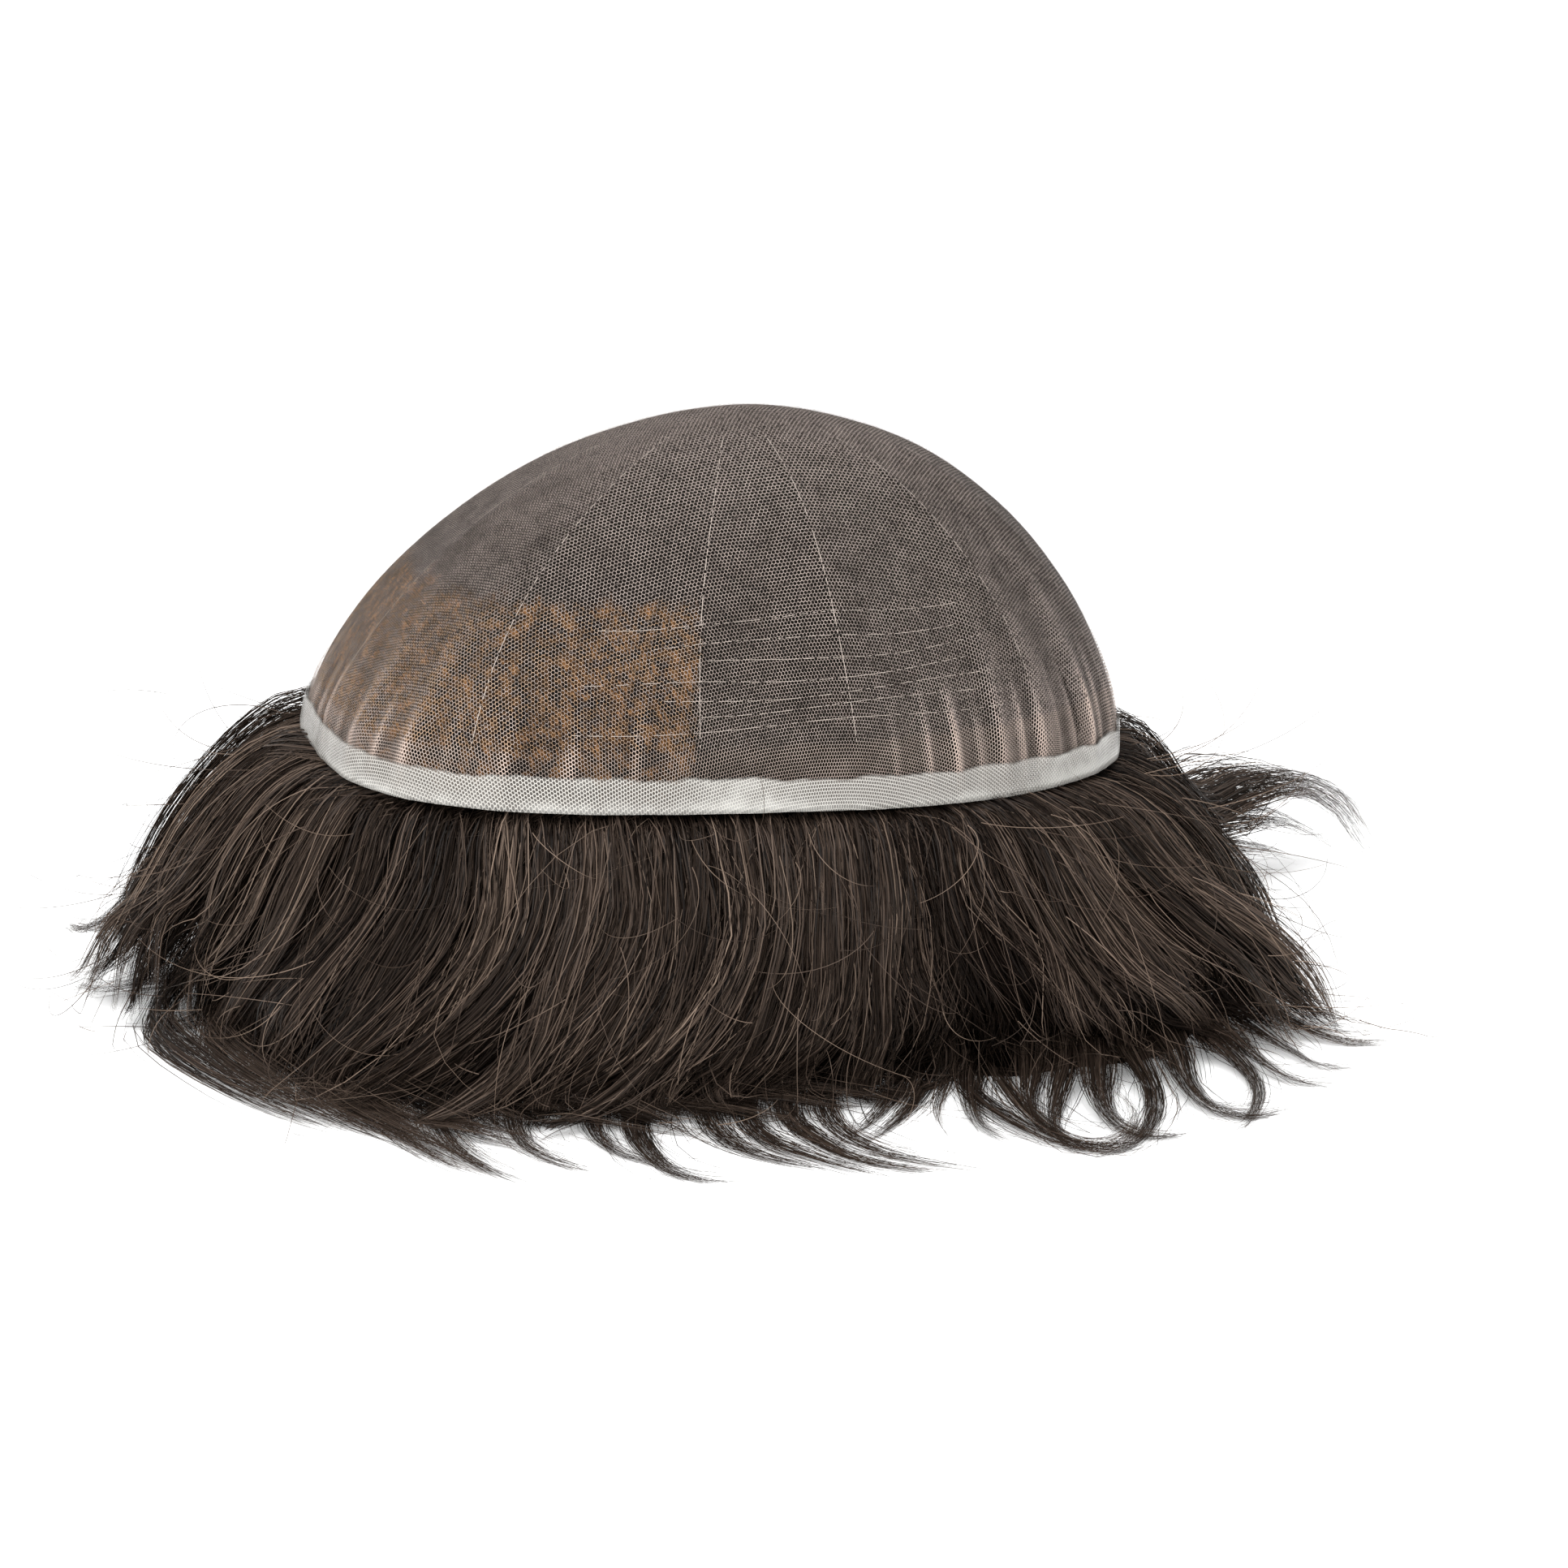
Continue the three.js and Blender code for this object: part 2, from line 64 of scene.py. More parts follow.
def smooth(value: np.ndarray, low: float, high: float) -> np.ndarray:
    """Eases a value from 0 at low to 1 at high.

    Args:
        value: The values to ease.
        low: Where the ease starts.
        high: Where it ends.

    Returns:
        The eased values, from 0 to 1.
    """
    share = np.clip((value - low) / (high - low), 0.0, 1.0)
    return share * share * (3.0 - 2.0 * share)


def hump(value: np.ndarray, low: float, high: float) -> np.ndarray:
    """Rises from 0 at low to 1 halfway, and falls back to 0 at high.

    Args:
        value: The values.
        low: Where the hump starts.
        high: Where it ends.

    Returns:
        The hump's height at each value.
    """
    return np.sin(np.clip((value - low) / (high - low), 0.0, 1.0) * math.pi)


def unit(vectors: np.ndarray) -> np.ndarray:
    """Gives vectors a length of 1."""
    return vectors / np.maximum(np.linalg.norm(vectors, axis=-1, keepdims=True), 1e-12)


def turned(first: np.ndarray, second: np.ndarray) -> np.ndarray:
    """Gives the degrees between two directions, never more than half a turn.

    Args:
        first: Directions in degrees.
        second: Other directions in degrees.

    Returns:
        The angles between them, from 0 to 180.
    """
    return np.abs((first - second + 180.0) % 360.0 - 180.0)


def line_through(points: np.ndarray, samples: int) -> np.ndarray:
    """Runs a smooth line through points.

    Args:
        points: Rows of x, y and z.
        samples: How many points the line gets, evenly spaced along it.

    Returns:
        The line's points.
    """
    before = 2 * points[0] - points[1]
    after = 2 * points[-1] - points[-2]
    all_points = np.vstack([before, points, after])
    t = np.linspace(0.0, 1.0, 16, endpoint=False)[:, None]
    pieces = []
    for a, b, c, d in zip(all_points[:-3], all_points[1:-2], all_points[2:-1], all_points[3:]):
        pieces.append(0.5 * (2 * b + (c - a) * t + (2 * a - 5 * b + 4 * c - d) * t ** 2
                             + (3 * b - a - 3 * c + d) * t ** 3))
    fine = np.vstack([*pieces, points[-1:]])
    run = np.concatenate([[0.0], np.cumsum(np.linalg.norm(np.diff(fine, axis=0), axis=1))])
    even = np.linspace(0.0, run[-1], samples)
    return np.stack([np.interp(even, run, fine[:, axis]) for axis in range(3)], axis=1)


class Flow:
    """A shader socket or number that Python's operators extend with Math nodes."""

    def __init__(self, board: "Board", socket: bpy.types.NodeSocket) -> None:
        """Wraps one output socket of a board's node."""
        self.board = board
        self.socket = socket

    def __add__(self, other: "Flow | float") -> "Flow":
        """Adds another flow or number."""
        return self.board.maths("ADD", self, other)

    def __radd__(self, other: float) -> "Flow":
        """Adds this flow to a number."""
        return self.board.maths("ADD", other, self)

    def __sub__(self, other: "Flow | float") -> "Flow":
        """Takes another flow or number away."""
        return self.board.maths("SUBTRACT", self, other)

    def __rsub__(self, other: float) -> "Flow":
        """Takes this flow away from a number."""
        return self.board.maths("SUBTRACT", other, self)

    def __mul__(self, other: "Flow | float") -> "Flow":
        """Multiplies by another flow or number."""
        return self.board.maths("MULTIPLY", self, other)

    def __rmul__(self, other: float) -> "Flow":
        """Multiplies a number by this flow."""
        return self.board.maths("MULTIPLY", other, self)

    def most(self, other: "Flow | float") -> "Flow":
        """Gives the larger of this and another."""
        return self.board.maths("MAXIMUM", self, other)


class Board:
    """A material's node tree, built from flows."""

    def __init__(self, name: str) -> None:
        """Starts a material with one Principled shader.

        Args:
            name: The material's name.
        """
        self.material = bpy.data.materials.new(name)
        self.material.use_nodes = True
        self.tree = self.material.node_tree
        self.shader = self.tree.nodes["Principled BSDF"]

    def node(self, kind: str, settings: dict | None = None, inputs: dict | None = None,
             output: int | str = 0) -> Flow:
        """Adds one node.

        Args:
            kind: The node's type.
            settings: Properties that are set before its sockets.
            inputs: Values or flows for its input sockets, by name or number.
            output: The output socket to give back.

        Returns:
            The wanted output as a flow.
        """
        made = self.tree.nodes.new(kind)
        for key, value in (settings or {}).items():
            if key == "stops":
                self.set_stops(made.color_ramp, value)
            else:
                setattr(made, key, value)
        for key, value in (inputs or {}).items():
            self.feed(made.inputs[key], value)
        return Flow(self, made.outputs[output])

    @staticmethod
    def set_stops(ramp: bpy.types.ColorRamp, stops: Sequence[tuple[float, Sequence[float]]]) -> None:
        """Gives a colour ramp its stops.

        Args:
            ramp: The ramp.
            stops: A position and a colour for each stop.
        """
        while len(ramp.elements) < len(stops):
            ramp.elements.new(1.0)
        for element, (spot, colour) in zip(ramp.elements, stops):
            element.position = spot
            element.color = colour

    def feed(self, socket: bpy.types.NodeSocket, value: "Flow | float | Sequence[float]") -> None:
        """Links a flow to an input socket, or sets the socket's value.

        Args:
            socket: The input socket.
            value: A flow, a number or a list of numbers.
        """
        if isinstance(value, Flow):
            self.tree.links.new(value.socket, socket)
        else:
            socket.default_value = value

    def maths(self, operation: str, *values: "Flow | float") -> Flow:
        """Adds a Math node on one to three values."""
        return self.node("ShaderNodeMath", {"operation": operation}, dict(enumerate(values)))

    def vector(self, operation: str, *values: "Flow | Sequence[float]", output: int | str = 0) -> Flow:
        """Adds a Vector Math node on one to three vectors."""
        return self.node("ShaderNodeVectorMath", {"operation": operation}, dict(enumerate(values)), output)

    def ease(self, value: Flow, low: "Flow | float", high: "Flow | float") -> Flow:
        """Eases a flow from 0 at low to 1 at high."""
        return self.node("ShaderNodeMapRange", {"interpolation_type": "SMOOTHSTEP"},
                         {"Value": value, "From Min": low, "From Max": high})

    def blend(self, factor: "Flow | float", first: "Flow | Sequence[float]",
              second: "Flow | Sequence[float]") -> Flow:
        """Blends two colours.

        Args:
            factor: 0 for the first colour, 1 for the second.
            first: A colour or a flow of one.
            second: Another.

        Returns:
            The blended colour.
        """
        return self.node("ShaderNodeMix", {"data_type": "RGBA"},
                         {"Factor": factor, 6: first, 7: second}, 2)

    def noise(self, place: Flow, scale: float, detail: float = 2.0, rough: float = 0.5) -> Flow:
        """Adds a Noise Texture that reads a place in metres, and gives its value."""
        return self.node("ShaderNodeTexNoise", {},
                         {"Vector": place, "Scale": scale, "Detail": detail, "Roughness": rough})

    def place(self) -> Flow:
        """Gives the Object coordinates, in metres."""
        return self.node("ShaderNodeTexCoord", output="Object")

    def layout(self, name: str) -> Flow:
        """Gives a UV map's coordinates."""
        return self.node("ShaderNodeUVMap", {"uv_map": name})

    def painted(self, name: str) -> Flow:
        """Gives a value that the mesh's points carry."""
        return self.node("ShaderNodeAttribute", {"attribute_name": name}, output="Fac")

    def bump(self, height: Flow, depth: float, strength: float = 1.0) -> Flow:
        """Gives a Normal for the shader from a height of 0 to 1 and its depth in metres."""
        return self.node("ShaderNodeBump", {}, {"Height": height, "Distance": depth, "Strength": strength})

    def finish(self, **sockets: "Flow | float | Sequence[float]") -> bpy.types.Material:
        """Feeds the shader's sockets, whose names have their spaces written as underscores.

        Returns:
            The finished material.
        """
        for name, value in sockets.items():
            self.feed(self.shader.inputs[name.replace("_", " ")], value)
        return self.material


def mesh_cell(board: Board, place: Flow, pitch: float) -> Flow:
    """Works out how near a point is to the threads of a hexagonal net.

    Args:
        board: The material's board.
        place: The point on the flat net, in metres, with no negative coordinate.
        pitch: The width of a cell, in metres.

    Returns:
        0 at a cell's middle and 0.5 on the middle of a thread.
    """
    row = math.sqrt(3.0)
    cell = (1.0, row, 1.0)
    half = (0.5, row / 2, 0.0)
    point = board.node("ShaderNodeVectorMath", {"operation": "SCALE"}, {0: place, "Scale": 1.0 / pitch})
    even = board.vector("SUBTRACT", board.vector("MODULO", point, cell), half)
    shifted = board.vector("SUBTRACT", point, half)
    odd = board.vector("SUBTRACT", board.vector("MODULO", shifted, cell), half)
    even_far = board.vector("DOT_PRODUCT", even, even, output="Value")
    odd_far = board.vector("DOT_PRODUCT", odd, odd, output="Value")
    nearer = board.maths("LESS_THAN", odd_far, even_far)
    offset = board.node("ShaderNodeMix", {"data_type": "VECTOR"}, {"Factor": nearer, 4: even, 5: odd}, 1)
    offset = board.vector("ABSOLUTE", offset)
    across = board.node("ShaderNodeSeparateXYZ", {}, {0: offset}, 0)
    slant = board.vector("DOT_PRODUCT", offset, (0.5, row / 2, 0.0), output="Value")
    return across.most(slant)


@dataclass(frozen=True)
class NetFinish:
    """Hexagonal net of beige thread, with dark knots over most of it and bleached ones at the front."""

    pitch: float = 0.84 * MM
    thread: tuple[float, ...] = (0.39, 0.32, 0.285, 1.0)
    bare_thread: tuple[float, ...] = (0.4, 0.32, 0.275, 1.0)
    # fold: a lighter thread colour on gathers and pleats, a painted highlight on the folds
    fold: tuple[float, ...] = (0.6, 0.47, 0.4, 1.0)
    knot: tuple[float, ...] = (0.025, 0.017, 0.013, 1.0)
    bleached: tuple[float, ...] = (0.42, 0.24, 0.1, 1.0)

    def material(self) -> bpy.types.Material:
        """Builds the material.

        Returns:
            The material, which reads the map "net" and the values "gather", "knots", "crown" and "bleach".
        """
        board = Board("net")
        place = board.place()
        wander = board.node("ShaderNodeTexNoise", {}, {"Vector": place, "Scale": 200.0, "Detail": 1.0}, 1)
        wander = board.vector("SUBTRACT", wander, (0.5, 0.5, 0.5))
        wander = board.node("ShaderNodeVectorMath", {"operation": "SCALE"}, {0: wander, "Scale": 0.3 * MM})
        edge = mesh_cell(board, board.vector("ADD", board.layout("net"), wander), self.pitch)
        gather = board.painted("gather")
        patch = board.noise(place, 170.0, 3.0, 0.6)
        speck = board.noise(place, 1500.0, 2.0, 0.6)
        knotted = board.ease(board.painted("knots") + (patch - 0.5) * 0.5, 0.35, 0.65)
        bleach = board.ease(board.painted("bleach") + (patch - 0.5) * 1.1, 0.35, 0.65)
        reach = 0.456 - 0.13 * gather + (patch - 0.5) * 0.06 - 0.02 * board.painted("crown")
        thread = board.ease(edge, reach, reach + 0.025)
        stub = board.ease(speck, 0.68, 0.76) * knotted
        cover = thread.most(stub)
        tone = board.blend(knotted, self.bare_thread, self.thread)
        # Threads on gathers and pleats turn lighter: a painted highlight on the folds. The thicker threads
        # there are real.
        tone = board.blend(board.ease(gather, 0.25, 1.0), tone, self.fold)
        tone = board.blend(knotted * board.ease(speck, 0.5, 0.64) * 0.8, tone, self.knot)
        glow = bleach * knotted * board.ease(board.noise(place, 900.0, 2.0, 0.6), 0.42, 0.62)
        tone = board.blend(glow * 0.6, tone, self.bleached)
        relief = board.ease(edge, 0.3, 0.5)
        return board.finish(Base_Color=tone, Roughness=0.6, Alpha=cover,
                            Normal=board.bump(relief, 0.12 * MM))


@dataclass(frozen=True)
class CoatFinish:
    """Lace soaked in a clear coating that has dried milky, with the net still showing in it."""

    pitch: float = 0.84 * MM
    clear: tuple[float, ...] = (0.16, 0.145, 0.13, 1.0)
    milky: tuple[float, ...] = (0.45, 0.445, 0.42, 1.0)
    thread: tuple[float, ...] = (0.58, 0.56, 0.52, 1.0)

    def material(self) -> bpy.types.Material:
        """Builds the material.

        Returns:
            The material, which reads the map "net" and the values "edge" and "milk".
        """
        board = Board("coated_edge")
        place = board.place()
        cell = mesh_cell(board, board.layout("net"), self.pitch)
        thread = board.ease(cell, 0.34, 0.42)
        cloud = board.noise(place, 90.0, 3.0, 0.6)
        fine = board.noise(place, 420.0, 2.0, 0.5)
        milk = board.ease(board.painted("milk") + (cloud - 0.5) * 1.1, 0.2, 0.85)
        body = board.blend(milk, self.clear, self.milky)
        tone = board.blend(thread * 0.9, body, self.thread)
        border = board.ease(board.painted("edge") + (board.noise(place, 260.0) - 0.5) * 0.35, 0.0, 0.3)
        cover = border * (0.3 + 0.5 * milk + 0.25 * (fine - 0.5)).most(thread * (0.75 + 0.2 * milk))
        relief = board.ease(cell, 0.2, 0.5) + 0.6 * cloud
        return board.finish(Base_Color=tone, Roughness=0.22 + 0.2 * cloud, Alpha=cover,
                            Normal=board.bump(relief, 0.1 * MM, 0.8), Coat_Weight=0.3, Coat_Roughness=0.15)


@dataclass(frozen=True)
class RootFinish:
    """Hair knotted close under the net, dark brown, with a bleached zone at the front."""

    dark: tuple[float, ...] = (0.005, 0.004, 0.003, 1.0)
    light: tuple[float, ...] = (0.016, 0.011, 0.0085, 1.0)
    bleached: tuple[float, ...] = (0.2, 0.095, 0.035, 1.0)

    def material(self) -> bpy.types.Material:
        """Builds the material.

        Returns:
            The material, which reads the map "net" and the value "bleach".
        """
        board = Board("hair_roots")
        place = board.place()
        drawn = board.vector("MULTIPLY", board.layout("net"), (1.0, 0.12, 1.0))
        strand = board.noise(drawn, 2400.0, 2.0, 0.6)
        patch = board.noise(place, 150.0, 3.0, 0.6)
        lit = board.ease(strand, 0.4, 0.75) * board.ease(patch, 0.25, 0.7)
        tone = board.blend(lit, self.dark, self.light)
        bleach = board.ease(board.painted("bleach") + (patch - 0.5) * 1.1, 0.3, 0.7)
        spots = board.ease(board.noise(place, 330.0, 2.0, 0.6), 0.38, 0.62) * board.ease(patch, 0.3, 0.6)
        tone = board.blend(bleach * board.ease(strand, 0.35, 0.7) * spots, tone, self.bleached)
        return board.finish(Base_Color=tone, Roughness=0.6, Specular_IOR_Level=0.04,
                            Normal=board.bump(strand, 0.5 * MM))


@dataclass(frozen=True)
class ThreadFinish:
    """Pale broken threads along the net's seams and folds."""

    dark: tuple[float, ...] = (0.26, 0.215, 0.185, 1.0)
    light: tuple[float, ...] = (0.54, 0.47, 0.415, 1.0)

    def material(self) -> bpy.types.Material:
        """Builds the material.

        Returns:
            The material.
        """
        board = Board("pale_thread")
        tone = board.blend(board.noise(board.place(), 500.0), self.dark, self.light)
        return board.finish(Base_Color=tone, Roughness=0.6)


@dataclass(frozen=True)
class StrandFinish:
    """Darkest brown human hair, with a few lighter and redder strands."""

    name: str = "hair"
    roughness: float = 0.36
    sheen: float = 0.07
    stops: tuple[tuple[float, tuple[float, ...]], ...] = (
        (0.0, (0.004, 0.0026, 0.0019, 1.0)),
        (0.35, (0.018, 0.0122, 0.009, 1.0)),
        (0.7, (0.068, 0.048, 0.037, 1.0)),
        (1.0, (0.17, 0.124, 0.094, 1.0)),
    )

    def material(self) -> bpy.types.Material:
        """Builds the material.

        Returns:
            The material, which reads the map "strand": the strand's tone, and the way along it.
        """
        board = Board(self.name)
        split = {0: board.layout("strand")}
        shade = board.node("ShaderNodeSeparateXYZ", {}, split, 0)
        along = board.node("ShaderNodeSeparateXYZ", {}, split, 1)
        ramp = board.node("ShaderNodeValToRGB", {"stops": self.stops}, {0: shade})
        tone = board.blend(board.ease(along, 0.55, 1.0) * 0.25, ramp, self.stops[2][1])
        return board.finish(Base_Color=tone, Roughness=self.roughness + 0.14 * shade,
                            Specular_IOR_Level=self.sheen)


# Darker copies of the hair finish for the under and middle layers: painted shade deep in the hair.
SHADED_UNDER_HAIR = StrandFinish("under_hair_painted_shade", 0.55, 0.03, (
    (0.0, (0.0025, 0.0016, 0.0012, 1.0)),
    (0.4, (0.005, 0.0033, 0.0025, 1.0)),
    (0.75, (0.01, 0.007, 0.005, 1.0)),
    (1.0, (0.02, 0.014, 0.011, 1.0)),
))
SHADED_MIDDLE_HAIR = StrandFinish("middle_hair_painted_shade", 0.45, 0.03, (
    (0.0, (0.003, 0.002, 0.0015, 1.0)),
    (0.4, (0.008, 0.0054, 0.004, 1.0)),
    (0.75, (0.021, 0.0145, 0.011, 1.0)),
    (1.0, (0.05, 0.035, 0.026, 1.0)),
))


@dataclass(frozen=True)
class ShadeFinish:
    """The dense hair behind the locks, painted near-black as shade, which only shows as dark lines between
    them.
    """

    dark: tuple[float, ...] = (0.003, 0.0022, 0.0018, 1.0)
    light: tuple[float, ...] = (0.012, 0.009, 0.007, 1.0)

    def material(self) -> bpy.types.Material:
        """Builds the material.

        Returns:
            The material, which reads the map "flow": round the base, and down the hair.
        """
        board = Board("inner_hair_painted_shade")
        drawn = board.vector("MULTIPLY", board.layout("flow"), (1.0, 0.05, 1.0))
        strand = board.noise(drawn, 1900.0, 3.0, 0.65)
        tone = board.blend(board.ease(strand, 0.4, 0.8), self.dark, self.light)
        return board.finish(Base_Color=tone, Roughness=0.6, Specular_IOR_Level=0.03,
                            Normal=board.bump(strand, 0.8 * MM))


@dataclass(frozen=True)
class FloorFinish:
    """A plain white studio surface, lit a little from below."""

    white: float = 0.9
    glow: float = 0.25

    def material(self) -> bpy.types.Material:
        """Builds the material.

        Returns:
            The material.
        """
        board = Board("white_floor")
        tone = (self.white, self.white, self.white, 1.0)
        return board.finish(Base_Color=tone, Roughness=0.6, Specular_IOR_Level=0.1, Emission_Color=tone,
                            Emission_Strength=self.glow)


class Bench:
    """Mesh-making steps that the pieces share."""

    @staticmethod
    def free() -> None:
        """Deselects every object."""
        bpy.ops.object.select_all(action="DESELECT")

    @staticmethod
    def dome(name: str, columns: int, rows: int) -> bpy.types.Object:
        """Makes the upper half of a ball, with one ring of points for each row.

        Args:
            name: The object's name.
            columns: Faces round it.
            rows: Faces from its top to its rim.

        Returns:
            The object, with a radius of 1.
        """
        Bench.free()
        bpy.ops.mesh.primitive_uv_sphere_add(segments=columns, ring_count=2 * rows, radius=1.0)
        made = bpy.context.object
        made.name = name
        bpy.ops.object.mode_set(mode="EDIT")
        bpy.ops.mesh.select_all(action="SELECT")
        bpy.ops.mesh.bisect(plane_co=(0, 0, -0.001), plane_no=(0, 0, 1), clear_inner=True)
        bpy.ops.mesh.select_all(action="SELECT")
        bpy.ops.mesh.remove_doubles(threshold=0.0015)
        bpy.ops.object.mode_set(mode="OBJECT")
        return made

    @staticmethod
    def tube(name: str, columns: int, rows: int) -> bpy.types.Object:
        """Makes an open upright tube with a radius and a height of 1.

        Args:
            name: The object's name.
            columns: Faces round it.
            rows: Faces down it.

        Returns:
            The object.
        """
        Bench.free()
        bpy.ops.mesh.primitive_cylinder_add(vertices=columns, radius=1.0, depth=1.0,
                                            end_fill_type="NOTHING")
        made = bpy.context.object
        made.name = name
        bpy.context.tool_settings.mesh_select_mode = (False, True, False)
        bpy.ops.object.mode_set(mode="EDIT")
        bpy.ops.mesh.select_all(action="DESELECT")
        bpy.ops.object.mode_set(mode="OBJECT")
        for edge in made.data.edges:
            low, high = (made.data.vertices[i].co.z for i in edge.vertices)
            edge.select = abs(high - low) > 0.5
        bpy.ops.object.mode_set(mode="EDIT")
        bpy.ops.mesh.subdivide(number_cuts=rows - 1)
        bpy.ops.mesh.select_mode(type="VERT")
        bpy.ops.object.mode_set(mode="OBJECT")
        return made

    @staticmethod
    def sheet(name: str, columns: int, rows: int) -> bpy.types.Object:
        """Makes a flat grid one unit square, centred on the origin.

        Args:
            name: The object's name.
            columns: Faces across it.
            rows: Faces down it.

        Returns:
            The object.
        """
        Bench.free()
        bpy.ops.mesh.primitive_grid_add(x_subdivisions=columns, y_subdivisions=rows, size=1.0)
        made = bpy.context.object
        made.name = name
        return made

    @staticmethod
    def points(piece: bpy.types.Object) -> np.ndarray:
        """Reads a mesh's points.

        Args:
            piece: The object.

        Returns:
            Rows of x, y and z.
        """
        flat = np.empty(len(piece.data.vertices) * 3)
        piece.data.vertices.foreach_get("co", flat)
        return flat.reshape(-1, 3)

    @staticmethod
    def dome_places(piece: bpy.types.Object) -> tuple[np.ndarray, np.ndarray]:
        """Reads where the points of a fresh dome lie.

        Args:
            piece: The object, with a radius of 1.

        Returns:
            The direction of each point round the crown in degrees, and its share of the way down.
        """
        ball = Bench.points(piece)
        angle = np.degrees(np.arctan2(ball[:, 1], ball[:, 0])) % 360.0
        share = np.arccos(np.clip(ball[:, 2], 0.0, 1.0)) / (math.pi / 2)
        return angle, np.where(share > 0.999, 1.0, share)

    @staticmethod
    def shape(piece: bpy.types.Object, points: np.ndarray) -> None:
        """Moves a mesh's points to new places."""
        piece.data.vertices.foreach_set("co", points.ravel())
        piece.data.update()

    @staticmethod
    def lay_out(piece: bpy.types.Object, name: str, flat: np.ndarray) -> None:
        """Gives a mesh one UV map from a flat place for each point.

        Args:
            piece: The object.
            name: The map's name.
            flat: A row of u and v for each point.
        """
        while piece.data.uv_layers:
            piece.data.uv_layers.remove(piece.data.uv_layers[0])
        corners = np.empty(len(piece.data.loops), dtype=np.int32)
        piece.data.loops.foreach_get("vertex_index", corners)
        piece.data.uv_layers.new(name=name).data.foreach_set("uv", flat[corners].astype(np.float32).ravel())

    @staticmethod
    def paint(piece: bpy.types.Object, name: str, values: np.ndarray) -> None:
        """Gives each of a mesh's points a value that a material reads by name."""
        layer = piece.data.attributes.new(name, "FLOAT", "POINT")
        layer.data.foreach_set("value", values.astype(np.float32))

    @staticmethod
    def thicken(piece: bpy.types.Object, wall: float) -> None:
        """Gives a shell a wall that grows inwards from its faces.

        Args:
            piece: The object.
            wall: The wall's thickness.
        """
        Bench.free()
        piece.select_set(True)
        bpy.context.view_layer.objects.active = piece
        solidify = piece.modifiers.new("wall", "SOLIDIFY")
        solidify.thickness = wall
        solidify.offset = -1.0
        bpy.ops.object.modifier_apply(modifier=solidify.name)

    @staticmethod
    def outward(piece: bpy.types.Object) -> None:
        """Turns a mesh's faces outwards.

        Args:
            piece: The object.
        """
        Bench.free()
        piece.select_set(True)
        bpy.context.view_layer.objects.active = piece
        bpy.ops.object.mode_set(mode="EDIT")
        bpy.ops.mesh.select_all(action="SELECT")
        bpy.ops.mesh.normals_make_consistent(inside=False)
        bpy.ops.object.mode_set(mode="OBJECT")

    @staticmethod
    def seat(piece: bpy.types.Object, material: bpy.types.Material, slot: str,
             *nodes: str) -> bpy.types.Object:
        """Finishes a piece: smooth faces, its material, its place in the frame and what it stands for.

        Args:
            piece: The object.
            material: Its material.
            slot: Not used.
            nodes: The solids that it replaces.

        Returns:
            The object.
        """
        piece.data.polygons.foreach_set("use_smooth", np.ones(len(piece.data.polygons), dtype=bool))
        piece.data.materials.clear()
        piece.data.materials.append(material)
        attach(piece, "root")
        if nodes:
            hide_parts(*nodes)
        return piece


@dataclass(frozen=True)
class Gather:
    """A fold of the net above the rim."""

    angle: float
    height: float
    start: float
    spread: float = 4.0


